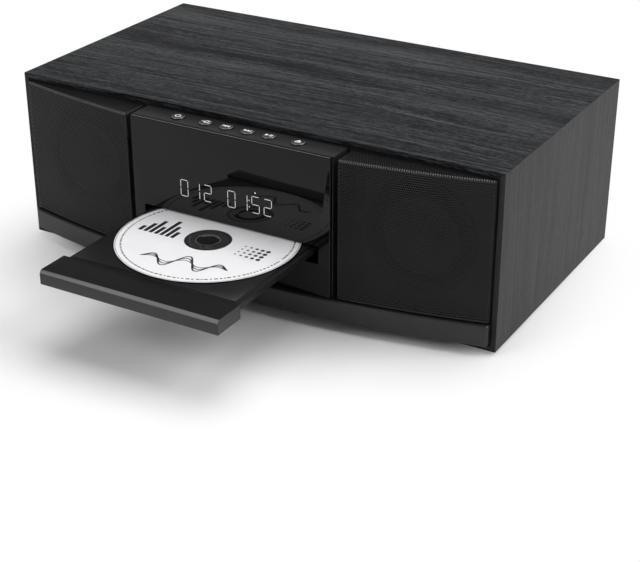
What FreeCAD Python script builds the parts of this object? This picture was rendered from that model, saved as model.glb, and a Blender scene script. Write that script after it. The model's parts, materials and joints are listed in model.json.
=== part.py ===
import FreeCAD, Part
import math
import os
from FreeCAD import Vector

# Compact CD stereo: bowed front, disc tray drawn out, speakers at both sides.
# Millimetres. +X right, +Y to the back, +Z up. The origin is on the table, under the middle of the
# whole footprint with the tray out.

# Cabinet boards
cabinet_width = 364.0
cabinet_depth = 194.0
cabinet_height = 120.7
panel_thickness = 9.0
front_lip = 3.6
rear_lip = 4.5
rear_panel_thickness = 4.0
rear_recess = 2.4
panel_clearance = 0.3
foot_radius = 9.0
foot_height = 2.5
foot_inset = 24.0

# Bowed front
bow_depth = 24.6
bow_end = 1.89
baffle_thickness = 6.0
baffle_setback = 1.0
trim_gap = 1.4
skirt_height = 14.6
skirt_proud = 2.5
skirt_wall = 2.4
skirt_rib = 1.2
skirt_bays = 6
skirt_side_gap = 0.45
skirt_end_radius = 2.0
skirt_edge = 0.8
grille_sheet = 1.0
grille_corner_radius = 1.6
grille_edge = 0.9
grille_top_drop = 0.55
grille_console_gap = 3.5
grille_side_gap = 0.9
shadow_gap = 0.4

# Console and fascia
console_depth = 18.7
console_wall = 2.4
console_margin = 0.55
bay_margin = 4.8
ledge_gap = 0.75
ledge_groove_width = 1.0
ledge_groove_depth = 1.6
fascia_margin = 8.35
fascia_thickness = 2.9
fascia_edge = 0.35
window_width = 104.0
window_rise = 8.7
boss_half = 3.0
boss_length = 4.8

# Keys on the ledge
key_radius = 4.5
key_rise = 1.2
key_edge = 0.5
key_travel = 0.8
key_pitch = 16.05
key_outer_pitch = 21.45
key_line = 9.3
key_clearance = 0.25
key_ear = 1.0
key_ear_thickness = 1.0
key_ear_play = 0.1
key_stem_half = 1.5
switch_size = 6.0
switch_height = 3.6
switch_well = 2.2
board_thickness = 1.6
board_gap = 0.1

# Display behind the fascia
module_side = 12.5
module_edge = 0.4
receiver_inset = 6.5
receiver_lens_radius = 2.0

# Disc
disc_radius = 60.0
disc_hole_radius = 7.5
disc_thickness = 1.2
disc_rise = 52.5
disc_blank_rim = 2.0

# Tray and its front bar
tray_travel = 112.1
tray_margin = 3.2
tray_tail = 20.0
deck_rise = 1.0
deck_front_step = 3.0
disc_proud = 0.6
disc_play = 0.1
recess_play = 0.5
rail_height = 3.8
rail_width = 5.2
tray_floor = 2.2
hub_window_radius = 19.0
lens_window_margin = 4.0
bar_overhang = 2.2
bar_height = 9.6
bar_depth = 23.9
bar_bevel_depth = 1.7
bar_bevel_height = 2.3
bar_wall = 2.2
bar_disc_gap = 3.8
tongue_length = 14.0
tongue_inset = 5.2
tongue_play = 0.2
slot_side_gap = 1.7
slot_top_gap = 1.0
slot_bottom_gap = 1.8
slot_corner = 0.8

# Speaker drivers
driver_margin = 8.9
driver_flange = 2.0
driver_rim = 4.0
driver_depth = 24.0
driver_throat = 22.5
basket_wall = 1.5
basket_windows = 4
basket_window_half = 9.0
cutout_play = 1.0
cone_margin = 11.6
cone_depth = 11.0
coil_radius = 9.0
coil_play = 0.15
coil_gap = 4.0
cone_sheet = 0.7
cap_rise = 3.0
roll_radius = 3.0
roll_sheet = 0.6
roll_lip = 1.2
roll_steps = 3
magnet_radius = 26.0
magnet_depth = 12.0
magnet_edge = 1.5

# Loader chassis
loader_depth = 33.5
chassis_wall = 2.5
chassis_floor = 2.0
chassis_front = 3.5
chassis_tail = 7.0
slide_play = 0.2
side_play = 0.3
guide_rib = 2.0
guide_reach = 4.5
hold_tabs = 3
hold_tab_length = 20.0
leg_half = 5.0

# Tray drive
gear_module = 1.0
pinion_teeth = 14
pressure_angle = 20.0
addendum = 0.9
dedendum = 1.15
flank_steps = 2
backlash = 0.3
rack_inset = 11.2
rack_height = 3.6
rack_back = 4.0
pinion_height = 3.4
pinion_line = 15.0
pinion_neck = 5.5
pinion_pin_radius = 2.0
pinion_shoulder = 4.0
running_play = 0.06
wheel_radius = 13.0
wheel_height = 4.0
pulley_radius = 4.0
belt_width = 1.6
belt_play = 0.1
motor_radius = 12.0
motor_gap = 1.4
motor_shaft_radius = 1.0
motor_offset = 37.0

# Traverse, which tips up about its rear pivots to take the disc
traverse_half_width = 32.0
traverse_plate = 3.0
traverse_nose = 22.0
traverse_drop = 7.0
pivot_inset = 6.0
pivot_radius = 2.0
pivot_length = 5.0
bearing_wall = 2.0
bearing_length = 3.75
table_radius = 14.5
table_thickness = 3.0
table_standoff = 5.0
table_boss_radius = 3.0
hub_play = 0.3
hub_rise = 1.5
hub_taper = 0.75
spindle_motor_radius = 11.0
spindle_motor_height = 10.0
spindle_shaft_radius = 0.75
shaft_hole_radius = 2.25
rod_radius = 1.5
rod_half_gauge = 21.0
holder_wall = 1.5
screw_half_gauge = 27.0
pickup_inner = 24.0
pickup_half_width = 14.0
pickup_half_length = 9.0
pickup_arm_half = 2.75
pickup_arm_length = 9.0
lens_radius = 3.5
lens_collar = 7.0
lens_collar_rise = 2.3
lens_gap = 2.0
sled_motor_half = 5.0
sled_motor_length = 12.0

# Clamp over the disc
clamper_radius = 13.0
clamper_thickness = 3.0
clamper_neck = 7.0
clamper_lift = 0.5
clamper_flange = 11.5
clamper_flange_thickness = 1.5
bridge_thickness = 2.0
bridge_rib = 3.0
bridge_half_depth = 17.0

# Electronics
board_margin = 8.0
main_board_depth = 96.0
standoff_height = 6.0
standoff_radius = 3.0
standoff_inset = 6.0
fin_count = 7
fin_pitch = 7.0
fin_thickness = 2.0
fin_height = 34.0
sink_base = 4.0
sink_depth = 24.0
sink_inset = 12.0
can_radius = 7.0
can_height = 30.0
can_pitch = 28.0
can_inset = 21.0
core_width = 44.0
core_height = 38.0
core_depth = 18.0
core_limb = 8.0
core_inset = 39.0
winding_overhang = 9.0
winding_edge = 3.0

# Rear fittings
jack_bore = 1.8
jack_collar = 4.0
jack_body_half = 6.0
jack_length = 14.0
jack_inset = 64.0
jack_z = 52.0
gland_bore = 3.2
gland_radius = 6.0
gland_flange_half = 8.0
gland_corner = 2.0
gland_length = 11.0
gland_inset = 64.0
gland_z = 40.0
fitting_rise = 1.6
vent_count = 9
vent_width = 2.6
vent_height = 24.0
vent_pitch = 7.0
vent_drop = 14.0

# Flats round a turned piece, a thin bar and a standoff, and over each end of the belt
round_sides = 18
small_sides = 12
standoff_sides = 6
belt_steps = 8

# Planes that the cabinet pieces share
fascia_front = console_depth + fascia_thickness
front_edge = (fascia_front + tray_travel - cabinet_depth) / 2
back_edge = front_edge + cabinet_depth
cabinet_bottom_z = foot_height
cabinet_top_z = foot_height + cabinet_height
inner_floor_z = cabinet_bottom_z + panel_thickness
inner_half_width = cabinet_width / 2 - panel_thickness
baffle_face = front_edge + baffle_setback
baffle_back = baffle_face + baffle_thickness
lip_bottom_z = cabinet_bottom_z + front_lip
lip_top_z = cabinet_top_z - front_lip
lip_half_width = cabinet_width / 2 - front_lip
bow_rise = bow_depth - bow_end
bow_radius = (lip_half_width ** 2 + bow_rise ** 2) / (2 * bow_rise)
bow_centre = front_edge - bow_depth + bow_radius
skirt_bottom_z = lip_bottom_z + trim_gap
skirt_top_z = skirt_bottom_z + skirt_height
ledge_z = lip_top_z - ledge_gap
ledge_under_z = ledge_z - console_wall
console_face = front_edge - console_depth
fascia_face = front_edge - fascia_front
rear_face = back_edge - rear_recess
rear_inner = rear_face - rear_panel_thickness
jack_x = cabinet_width / 2 - jack_inset
gland_x = gland_inset - cabinet_width / 2

# Disc and tray
disc_z = cabinet_bottom_z + disc_rise
disc_top_z = disc_z + disc_thickness
recess_z = disc_z - disc_play
deck_z = disc_top_z - disc_proud
rail_top_z = deck_z - deck_rise
rail_bottom_z = rail_top_z - rail_height
tray_under_z = rail_top_z - tray_floor
tray_half_width = disc_radius + tray_margin
bar_half_width = tray_half_width + bar_overhang
bar_top_z = disc_top_z + disc_play
bar_bottom_z = bar_top_z - bar_height
bar_face = fascia_face - tray_travel
bar_back = bar_face + bar_depth
disc_y = bar_back + bar_disc_gap + disc_radius
tray_rear = disc_y + disc_radius + tray_tail
slot_half_width = bar_half_width + slot_side_gap
slot_bottom_z = bar_bottom_z - slot_bottom_gap
slot_top_z = bar_top_z + slot_top_gap

# Console, its keys and the grilles beside it
fascia_half_width = slot_half_width + fascia_margin
console_half_width = fascia_half_width + console_margin
grille_bottom_z = skirt_top_z + shadow_gap
grille_top_z = ledge_z - grille_top_drop
grille_inner_x = console_half_width + grille_console_gap
grille_outer_x = lip_half_width - grille_side_gap
driver_x = (grille_inner_x + grille_outer_x) / 2
driver_z = (grille_bottom_z + grille_top_z) / 2
grille_side = min(grille_outer_x - grille_inner_x, grille_top_z - grille_bottom_z)
driver_radius = grille_side / 2 - driver_margin
cone_radius = driver_radius - cone_margin
key_y = front_edge - key_line
key_top_z = ledge_z + key_rise
ear_top_z = ledge_under_z - key_ear_play
ear_bottom_z = ear_top_z - key_ear_thickness
switch_top_z = ear_bottom_z - key_travel - key_clearance
key_board_z = switch_top_z - switch_height
key_board_under_z = key_board_z - board_thickness
stem_tip_z = switch_top_z - switch_well + key_travel + slide_play
window_bottom_z = slot_top_z + window_rise
window_top_z = key_board_under_z - boss_half - board_gap
display_board_y = console_face + console_wall + boss_length

# Loader chassis
chassis_inner_x = tray_half_width + side_play
chassis_outer_x = chassis_inner_x + chassis_wall
chassis_y = (front_edge + chassis_front, tray_rear + tray_travel + chassis_tail)
chassis_under_z = disc_z - loader_depth
chassis_floor_z = chassis_under_z + chassis_floor
guide_top_z = rail_bottom_z - slide_play
wall_top_z = deck_z + deck_rise
bridge_z = disc_top_z + clamper_lift + clamper_thickness + clamper_lift

# Traverse in its playing place
spindle_y = disc_y + tray_travel
pivot_y = chassis_y[1] - pivot_inset
pivot_reach = pivot_y - spindle_y
table_top_z = disc_z - hub_play
table_under_z = table_top_z - table_thickness
traverse_top_z = table_under_z - table_standoff
traverse_bottom_z = traverse_top_z - traverse_plate
pivot_z = (traverse_top_z + traverse_bottom_z) / 2
traverse_tilt = math.degrees(math.asin(traverse_drop / pivot_reach))
rod_z = traverse_bottom_z - sled_motor_half - hub_play
pickup_y = spindle_y + pickup_inner
pickup_travel = disc_radius - disc_blank_rim - pickup_inner
pickup_end = pickup_y + pickup_travel + pickup_half_length
rod_ends = (spindle_y + spindle_motor_radius + side_play, pickup_end + holder_wall + side_play)

# Tray drive
rack_line = tray_half_width - rack_inset
pitch_radius = gear_module * pinion_teeth / 2
tooth_pitch = math.pi * gear_module
pinion_x = pitch_radius - rack_line
pinion_y = front_edge + pinion_line
pinion_top_z = tray_under_z - hub_play
pinion_bottom_z = pinion_top_z - pinion_height
wheel_top_z = slot_bottom_z
wheel_bottom_z = wheel_top_z - wheel_height
belt_z = (wheel_top_z + wheel_bottom_z) / 2
belt_groove = belt_width + belt_play
motor_x = pinion_x + motor_offset
motor_top_z = wheel_bottom_z - motor_gap

X_AXIS = Vector(1, 0, 0)
Y_AXIS = Vector(0, 1, 0)
Z_AXIS = Vector(0, 0, 1)
ORIGIN = Vector(0, 0, 0)
TOUCH = 0.01


def box(x, y, z):
    """Block between two limits along each axis."""
    corner = Vector(x[0], y[0], z[0])
    return Part.makeBox(x[1] - x[0], y[1] - y[0], z[1] - z[0], corner)


def span(middle, half):
    return (middle - half, middle + half)


def rod(radius, length, base, axis):
    return Part.makeCylinder(radius, length, Vector(*base), axis)


def post(radius, x, y, z):
    """Upright cylinder between two heights."""
    return rod(radius, z[1] - z[0], (x, y, z[0]), Z_AXIS)


def flat_face(corners):
    return Part.Face(Part.makePolygon(corners + corners[:1]))


def prism(corners, along):
    """Flat outline of straight sides, drawn out along a vector."""
    return flat_face(corners).extrude(along)


def turned(profile, axis, place):
    """Profile of (radius, station) pairs turned about an axis through a place."""
    across = X_AXIS if axis != X_AXIS else Y_AXIS
    corners = [across * r + axis * s for r, s in profile]
    return flat_face(corners).revolve(ORIGIN, axis, 360).translated(Vector(*place))


def faceted(profile, axis, place, sides=round_sides):
    """Profile of (radius, station) pairs turned about an axis in flat facets."""
    across = X_AXIS if axis != X_AXIS else Y_AXIS
    upward = axis.cross(across)
    spokes = []
    for i in range(sides):
        turn = 2 * math.pi * (i + 0.5) / sides
        spokes.append(across * math.cos(turn) + upward * math.sin(turn))
    faces = []
    for (r0, s0), (r1, s1) in zip(profile, profile[1:] + profile[:1]):
        for before, after in zip(spokes, spokes[1:] + spokes[:1]):
            corners = [before * r0 + axis * s0, before * r1 + axis * s1]
            if r1 > 0:
                corners.append(after * r1 + axis * s1)
            if r0 > 0:
                corners.append(after * r0 + axis * s0)
            if len(corners) > 2:
                faces.append(flat_face(corners))
    solid = Part.makeSolid(Part.makeShell(faces))
    return solid.removeSplitter().translated(Vector(*place))


def bar(radius, length, base, axis, sides=small_sides):
    """Straight bar of many flats."""
    return faceted([(0, 0), (radius, 0), (radius, length), (0, length)], axis, base, sides)


def column(radius, x, y, z, sides=small_sides):
    """Upright bar of many flats between two heights."""
    return bar(radius, z[1] - z[0], (x, y, z[0]), Z_AXIS, sides)


def mirrored(shape):
    return shape.mirror(ORIGIN, X_AXIS)


def both_sides(shape):
    return [shape, mirrored(shape)]


def save(name, shape):
    shape.exportStep("parts/" + name + ".step")


def group(solids):
    return Part.makeCompound(solids)


def bow_y(x, proud):
    """Front of the bow at a distance x from the middle."""
    return bow_centre - math.sqrt((bow_radius + proud) ** 2 - x * x)


def bow_block(x, z, proud, back):
    """Solid with a bowed front and a flat back."""
    middle = (x[0] + x[1]) / 2
    front = [Vector(at, bow_y(at, proud), z[0]) for at in (x[0], middle, x[1])]
    rear = [Vector(x[1], back, z[0]), Vector(x[0], back, z[0])]
    edges = [Part.Arc(*front).toShape()]
    corners = [front[2]] + rear + [front[0]]
    for start, end in zip(corners, corners[1:]):
        edges.append(Part.LineSegment(start, end).toShape())
    return Part.Face(Part.Wire(edges)).extrude(Z_AXIS * (z[1] - z[0]))


def upright_edges(shape, front_of):
    """Vertical edges that lie in front of a plane."""
    found = []
    for edge in shape.Edges:
        size = edge.BoundBox
        if size.XLength + size.YLength < TOUCH and size.YMax < front_of - TOUCH:
            found.append(edge)
    return found


def bowed_edges(shape, heights):
    """Level edges of the long bow that lie at any of these heights."""
    found = []
    for edge in shape.Edges:
        size = edge.BoundBox
        bowed = edge.Curve.TypeId == "Part::GeomCircle" and edge.Curve.Radius > bow_radius / 2
        if bowed and any(abs(size.ZMin - z) + size.ZLength < TOUCH for z in heights):
            found.append(edge)
    return found


def front_edges(shape, face):
    """Edges that lie in a plane facing forwards."""
    return [edge for edge in shape.Edges if abs(edge.BoundBox.YMax - face) < TOUCH]


def long_edges(shape, axis):
    """Straight edges that run along an axis."""
    found = []
    for edge in shape.Edges:
        run = edge.Vertexes[-1].Point - edge.Vertexes[0].Point
        if abs(abs(run.dot(axis)) - edge.Length) < TOUCH:
            found.append(edge)
    return found


def cabinet_boards():
    """Four boards, mitred along their length, with rebates for the baffle and the rear panel."""
    half = cabinet_width / 2
    inner = inner_half_width
    low, high = cabinet_bottom_z, cabinet_top_z
    inner_low, inner_high = inner_floor_z, high - panel_thickness
    front_rebate = box(
        span(0, lip_half_width), (front_edge, baffle_back), (lip_bottom_z, lip_top_z)
    )
    rear_rebate = box(
        span(0, half - rear_lip), (rear_inner, back_edge), (low + rear_lip, high - rear_lip)
    )
    outlines = {
        "cabinet_top": [(-half, high), (half, high), (inner, inner_high), (-inner, inner_high)],
        "cabinet_bottom": [(-half, low), (half, low), (inner, inner_low), (-inner, inner_low)],
        "cabinet_left": [(-half, low), (-half, high), (-inner, inner_high), (-inner, inner_low)],
        "cabinet_right": [(half, low), (half, high), (inner, inner_high), (inner, inner_low)],
    }
    for name, outline in outlines.items():
        corners = [Vector(x, front_edge, z) for x, z in outline]
        board = prism(corners, Y_AXIS * cabinet_depth)
        save(name, board.cut([front_rebate, rear_rebate]))


def feet():
    solids = []
    for x in span(0, cabinet_width / 2 - foot_inset):
        for y in (front_edge + foot_inset, back_edge - foot_inset):
            solids.append(column(foot_radius, x, y, (0, foot_height), round_sides))
    save("feet", group(solids))


def rear_panel():
    """Panel with two banks of vents, and holes for the jack and the cord gland."""
    y = (rear_inner, rear_face)
    low = cabinet_bottom_z + rear_lip + panel_clearance
    high = cabinet_top_z - rear_lip - panel_clearance
    panel = box(span(0, cabinet_width / 2 - rear_lip - panel_clearance), y, (low, high))
    cuts = [
        bar(jack_collar, rear_panel_thickness, (jack_x, rear_inner, jack_z), Y_AXIS, round_sides),
        rod(gland_radius + running_play, rear_panel_thickness, (gland_x, rear_inner, gland_z), Y_AXIS),
    ]
    vent_z = (high - vent_drop - vent_height, high - vent_drop)
    for side in (-driver_x, driver_x):
        for i in range(vent_count):
            x = side + (i - (vent_count - 1) / 2) * vent_pitch
            cuts.append(box(span(x, vent_width / 2), y, vent_z))
    save("rear_panel", panel.cut(cuts))


def front_baffle():
    """Flat board in the front rebate, cut out for the drivers and for the loader."""
    y = (baffle_face, baffle_back)
    z = (lip_bottom_z + panel_clearance, lip_top_z - panel_clearance)
    board = box(span(0, lip_half_width - panel_clearance), y, z)
    bay_z = (chassis_under_z - guide_rib, ledge_under_z - console_wall)
    bay = box(span(0, chassis_outer_x + bay_margin), y, bay_z)
    hole_radius = driver_radius - driver_rim + cutout_play
    hole = bar(hole_radius, baffle_thickness, (driver_x, baffle_face, driver_z), Y_AXIS, round_sides)
    save("front_baffle", board.cut([bay] + both_sides(hole)))


def base_skirt():
    """Bowed trim below the front: a thin-walled moulding with ribs, open at the back."""
    half = lip_half_width - skirt_side_gap
    outer = bow_block((-half, half), (skirt_bottom_z, skirt_top_z), skirt_proud, baffle_face)
    outer = outer.makeFillet(skirt_end_radius, upright_edges(outer, baffle_face))
    outer = outer.makeChamfer(skirt_edge, bowed_edges(outer, [skirt_top_z, skirt_bottom_z]))
    hollow = bow_block(
        (-half + skirt_wall, half - skirt_wall),
        (skirt_bottom_z + skirt_wall, skirt_top_z - skirt_wall),
        skirt_proud - skirt_wall,
        baffle_face,
    )
    ribs = []
    for i in range(1, skirt_bays):
        x = span(-half + 2 * half * i / skirt_bays, skirt_rib / 2)
        ribs.append(box(x, (bow_y(0, skirt_proud), baffle_face), (skirt_bottom_z, skirt_top_z)))
    save("base_skirt", outer.cut(hollow.cut(ribs)))


def grilles():
    """Folded sheet with a bowed face and a return on all four sides."""
    x = (grille_inner_x, grille_outer_x)
    z = (grille_bottom_z, grille_top_z)
    outer = bow_block(x, z, 0, baffle_face)
    outer = outer.makeFillet(grille_corner_radius, upright_edges(outer, baffle_face))
    outer = outer.makeChamfer(grille_edge, bowed_edges(outer, z))
    inner = bow_block(
        (x[0] + grille_sheet, x[1] - grille_sheet),
        (z[0] + grille_sheet, z[1] - grille_sheet),
        -grille_sheet,
        baffle_face,
    )
    grille = outer.cut(inner)
    save("grille_right", grille)
    save("grille_left", mirrored(grille))


def key_places():
    """Middle of each key along the ledge, by name."""
    inner = key_pitch / 2
    middle = inner + key_pitch
    outer = middle + key_outer_pitch
    return {
        "power_key": -outer,
        "source_key": -middle,
        "previous_key": -inner,
        "next_key": inner,
        "play_key": middle,
        "eject_key": outer,
    }


def console_shell():
    """Thin-walled housing with the key ledge, a groove behind the fascia, and board bosses."""
    half = console_half_width
    wall = (console_face, console_face + console_wall)
    groove = (console_face, console_face + ledge_groove_width)
    shell = box((-half, half), (console_face, baffle_face), (skirt_top_z, ledge_z))
    cuts = [
        box(
            span(0, half - console_wall),
            (wall[1], baffle_face),
            (skirt_top_z + console_wall, ledge_under_z),
        ),
        box(span(0, slot_half_width + slide_play), wall, (slot_bottom_z, slot_top_z)),
        box(span(0, window_width / 2), wall, (window_bottom_z, window_top_z)),
        box(span(0, half), groove, (ledge_z - ledge_groove_depth, ledge_z)),
    ]
    for x in key_places().values():
        hole_radius = key_radius + key_clearance
        cuts.append(column(hole_radius, x, key_y, (ledge_under_z, ledge_z), round_sides))
    boss_x = (key_places()["play_key"] + key_places()["eject_key"]) / 2
    bosses = []
    for x in span(0, boss_x):
        bosses.append(box(span(x, boss_half), span(key_y, boss_half), (key_board_z, ledge_under_z)))
    for x in span(0, window_width / 2 + boss_half):
        for z in (window_bottom_z, window_top_z):
            bosses.append(box(span(x, boss_half), (wall[1], display_board_y), span(z, boss_half)))
    save("console_shell", shell.cut(cuts).fuse(bosses).removeSplitter())


def fascia_panel():
    """Smoked plate with bevelled rim and a tray slot with rounded corners."""
    y = (fascia_face, console_face)
    plate = box(span(0, fascia_half_width), y, (skirt_top_z + shadow_gap, ledge_z))
    plate = plate.makeChamfer(fascia_edge, front_edges(plate, fascia_face))
    slot = box(span(0, slot_half_width), y, (slot_bottom_z, slot_top_z))
    save("fascia_panel", plate.cut(slot.makeFillet(slot_corner, long_edges(slot, Y_AXIS))))


def keys():
    """Round keys: cap through the ledge, two ears that hold it in, stem into the switch."""
    cap_profile = [
        (0, ear_bottom_z),
        (key_radius, ear_bottom_z),
        (key_radius, key_top_z - key_edge),
        (key_radius - key_edge, key_top_z),
        (0, key_top_z),
    ]
    for name, x in key_places().items():
        cap = faceted(cap_profile, Z_AXIS, (x, key_y, 0))
        ears = box(
            span(x, key_radius + key_ear), span(key_y, key_stem_half), (ear_bottom_z, ear_top_z)
        )
        stem = box(
            span(x, key_stem_half), span(key_y, key_stem_half), (stem_tip_z, ear_bottom_z)
        )
        save(name, cap.fuse([ears, stem]).removeSplitter())


def key_board():
    """Board under the ledge, with one switch below each key."""
    half = key_places()["eject_key"] + 2 * switch_size
    y = (console_face + 2 * console_wall, baffle_face - console_wall)
    save("key_board", box((-half, half), y, (key_board_under_z, key_board_z)))
    well_half = key_stem_half + slide_play
    switches = []
    for x in key_places().values():
        body = box(
            span(x, switch_size / 2), span(key_y, switch_size / 2), (key_board_z, switch_top_z)
        )
        well_z = (switch_top_z - switch_well, switch_top_z)
        switches.append(body.cut(box(span(x, well_half), span(key_y, well_half), well_z)))
    save("key_switches", group(switches))


def display():
    """Numeric module behind the window, on its board, with the remote receiver beside it."""
    half = window_width / 2
    board = box(
        span(0, half + 2 * boss_half),
        (display_board_y, display_board_y + board_thickness),
        (window_bottom_z - boss_half, window_top_z + boss_half),
    )
    save("display_board", board)
    front = console_face + slide_play
    z = (window_bottom_z + console_wall, window_top_z - console_wall)
    module = box(span(0, half - module_side), (front, display_board_y), z)
    save("display_module", module.makeChamfer(module_edge, front_edges(module, front)))
    x = half - receiver_inset
    z = span((window_bottom_z + window_top_z) / 2, switch_size / 2)
    case_front = display_board_y - switch_height
    case = box(span(x, switch_size / 2), (case_front, display_board_y), z)
    lens = post(receiver_lens_radius, x, case_front, z)
    save("ir_receiver", case.fuse(lens).removeSplitter())


def disc():
    ring = [
        (disc_hole_radius, disc_z),
        (disc_radius, disc_z),
        (disc_radius, disc_top_z),
        (disc_hole_radius, disc_top_z),
    ]
    save("disc", turned(ring, Z_AXIS, (0, disc_y, 0)))


def rack():
    """Straight rack along the left of the tray's underside, teeth towards the middle."""
    line = -rack_line
    tip = line + addendum * gear_module
    root = line - dedendum * gear_module
    slope = math.tan(math.radians(pressure_angle))
    half_tooth = tooth_pitch / 4 - backlash / 2
    wide = half_tooth + (line - root) * slope
    narrow = half_tooth - (tip - line) * slope
    low = tray_under_z - rack_height
    first = pinion_y - tooth_pitch / 2
    ahead = int((first - bar_back) / tooth_pitch) - 1
    behind = int((tray_rear - first) / tooth_pitch) - 1
    back = line - rack_back
    start = first - (ahead + 0.5) * tooth_pitch
    end = first + (behind + 0.5) * tooth_pitch
    corners = [Vector(back, start, low), Vector(root, start, low)]
    for i in range(-ahead, behind + 1):
        y = first + i * tooth_pitch
        corners.append(Vector(root, y - wide, low))
        corners.append(Vector(tip, y - narrow, low))
        corners.append(Vector(tip, y + narrow, low))
        corners.append(Vector(root, y + wide, low))
    corners.append(Vector(root, end, low))
    corners.append(Vector(back, end, low))
    return prism(corners, Z_AXIS * rack_height)


def disc_tray():
    """Sliding tray: rails, raised deck with disc recess, lens window, rack and tongue."""
    y = (bar_back, tray_rear)
    plate = box(span(0, tray_half_width), y, (tray_under_z, rail_top_z))
    rail = box((tray_half_width - rail_width, tray_half_width), y, (rail_bottom_z, rail_top_z))
    deck = box(span(0, disc_radius), (bar_back + deck_front_step, tray_rear), (rail_top_z, deck_z))
    roof = bar_top_z - bar_wall - tongue_play
    tongue_half = disc_radius - tongue_inset
    tongue = box(span(0, tongue_half), (bar_back - tongue_length, bar_back), (tray_under_z, roof))
    body = plate.fuse(both_sides(rail) + [deck, tongue, rack()])
    window_end = disc_y + disc_radius + lens_window_margin - hub_window_radius
    through = (tray_under_z, deck_z)
    cuts = [
        post(disc_radius + recess_play, 0, disc_y, (recess_z, deck_z)),
        post(hub_window_radius, 0, disc_y, through),
        box(span(0, hub_window_radius), (disc_y, window_end), through),
        post(hub_window_radius, 0, window_end, through),
    ]
    save("disc_tray", body.cut(cuts).removeSplitter())


def tray_front():
    """Bar across the tray's front: bevelled along the top, hollow from the back."""
    outline = [
        (bar_face, bar_bottom_z),
        (bar_face, bar_top_z - bar_bevel_height),
        (bar_face + bar_bevel_depth, bar_top_z),
        (bar_back, bar_top_z),
        (bar_back, bar_bottom_z),
    ]
    corners = [Vector(-bar_half_width, y, z) for y, z in outline]
    front = prism(corners, X_AXIS * (2 * bar_half_width))
    hollow = box(
        span(0, bar_half_width - bar_wall),
        (bar_face + bar_wall + bar_bevel_depth, bar_back),
        (bar_bottom_z + bar_wall, bar_top_z - bar_wall),
    )
    save("tray_front", front.cut(hollow))


def basket(place):
    """Frame with a flange, a tapered body with windows, and a plate that carries the magnet."""
    mouth = driver_radius - driver_rim
    rear = driver_depth - driver_flange
    frame = faceted(
        [
            (mouth - driver_flange, -driver_flange),
            (driver_radius, -driver_flange),
            (driver_radius, 0),
            (mouth, 0),
            (driver_throat, rear),
            (driver_throat, driver_depth),
            (coil_radius, driver_depth),
            (coil_radius, rear),
            (driver_throat - basket_wall, rear),
            (mouth - driver_flange, 0),
        ],
        Y_AXIS,
        place,
    )
    window = box(
        span(place[0], basket_window_half),
        (baffle_back + basket_wall, baffle_face + rear - 2 * basket_wall),
        (driver_z + driver_throat / 2, driver_z + driver_radius),
    )
    middle = Vector(*place)
    step = 360 / basket_windows
    windows = [window.rotated(middle, Y_AXIS, step * (i + 0.5)) for i in range(basket_windows)]
    return frame.cut(windows)


def magnet(place):
    back = driver_depth + magnet_depth
    profile = [
        (0, driver_depth),
        (magnet_radius, driver_depth),
        (magnet_radius, back - magnet_edge),
        (magnet_radius - magnet_edge, back),
        (0, back),
    ]
    return faceted(profile, Y_AXIS, place)


def cone_and_cap(place):
    """Paper cone with its coil tube, and the dust cap in its throat."""
    rim = roll_sheet - driver_flange
    foot = rim + cone_depth
    coil = coil_radius - coil_play
    coil_end = driver_depth - driver_flange - coil_gap
    inner = coil - cone_sheet
    cone = faceted(
        [
            (cone_radius, rim),
            (coil, foot),
            (coil, coil_end),
            (inner, coil_end),
            (inner, foot - cone_sheet),
            (cone_radius - cone_sheet, rim - cone_sheet / 2),
            (cone_radius, rim - cone_sheet / 2),
        ],
        Y_AXIS,
        place,
    )
    seat = foot - 3 * cone_sheet
    dome = [(0, seat - cap_rise), (coil / 2, seat - cap_rise * 3 / 4), (coil, seat)]
    inside = [(r, s + cone_sheet) for r, s in dome[:2]] + [(coil - cone_sheet, seat)]
    cap = faceted(dome + inside[::-1], Y_AXIS, place)
    return cone, cap


def surround(place):
    """Half-round roll between the cone's rim and the frame, with a flat lip each side."""
    front = -driver_flange
    top = front - roll_sheet
    middle = cone_radius + roll_radius
    crest = roll_radius + roll_sheet
    outside, inside = [], []
    for i in range(roll_steps + 1):
        turn = math.pi * (1 - i / roll_steps)
        outside.append((middle + crest * math.cos(turn), top - crest * math.sin(turn)))
        inside.append((middle + roll_radius * math.cos(turn), front - roll_radius * math.sin(turn)))
    lips = (middle - crest - roll_lip, middle + crest + roll_lip)
    outline = [(lips[0], top)] + outside + [(lips[1], top), (lips[1], front)]
    return faceted(outline + inside[::-1] + [(lips[0], front)], Y_AXIS, place)


def drivers():
    """Two loudspeakers behind the grilles, facing forwards."""
    for suffix, x in (("left", -driver_x), ("right", driver_x)):
        place = (x, baffle_face, driver_z)
        cone, cap = cone_and_cap(place)
        save("driver_basket_" + suffix, basket(place))
        save("driver_magnet_" + suffix, magnet(place))
        save("driver_cone_" + suffix, cone)
        save("driver_cap_" + suffix, cap)
        save("driver_surround_" + suffix, surround(place))


def pivot_bearing():
    """Upright with a notch from above, which the traverse's pivot pin drops into."""
    start = traverse_half_width + side_play
    x = (start, start + bearing_length)
    half = pivot_radius + bearing_wall
    upright = box(x, span(pivot_y, half), (chassis_floor_z, pivot_z + half))
    notch_half = pivot_radius + running_play
    seat = rod(notch_half, bearing_length, (start, pivot_y, pivot_z), X_AXIS)
    mouth = box(x, span(pivot_y, notch_half), (pivot_z, pivot_z + half))
    return upright.cut([seat, mouth])


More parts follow.
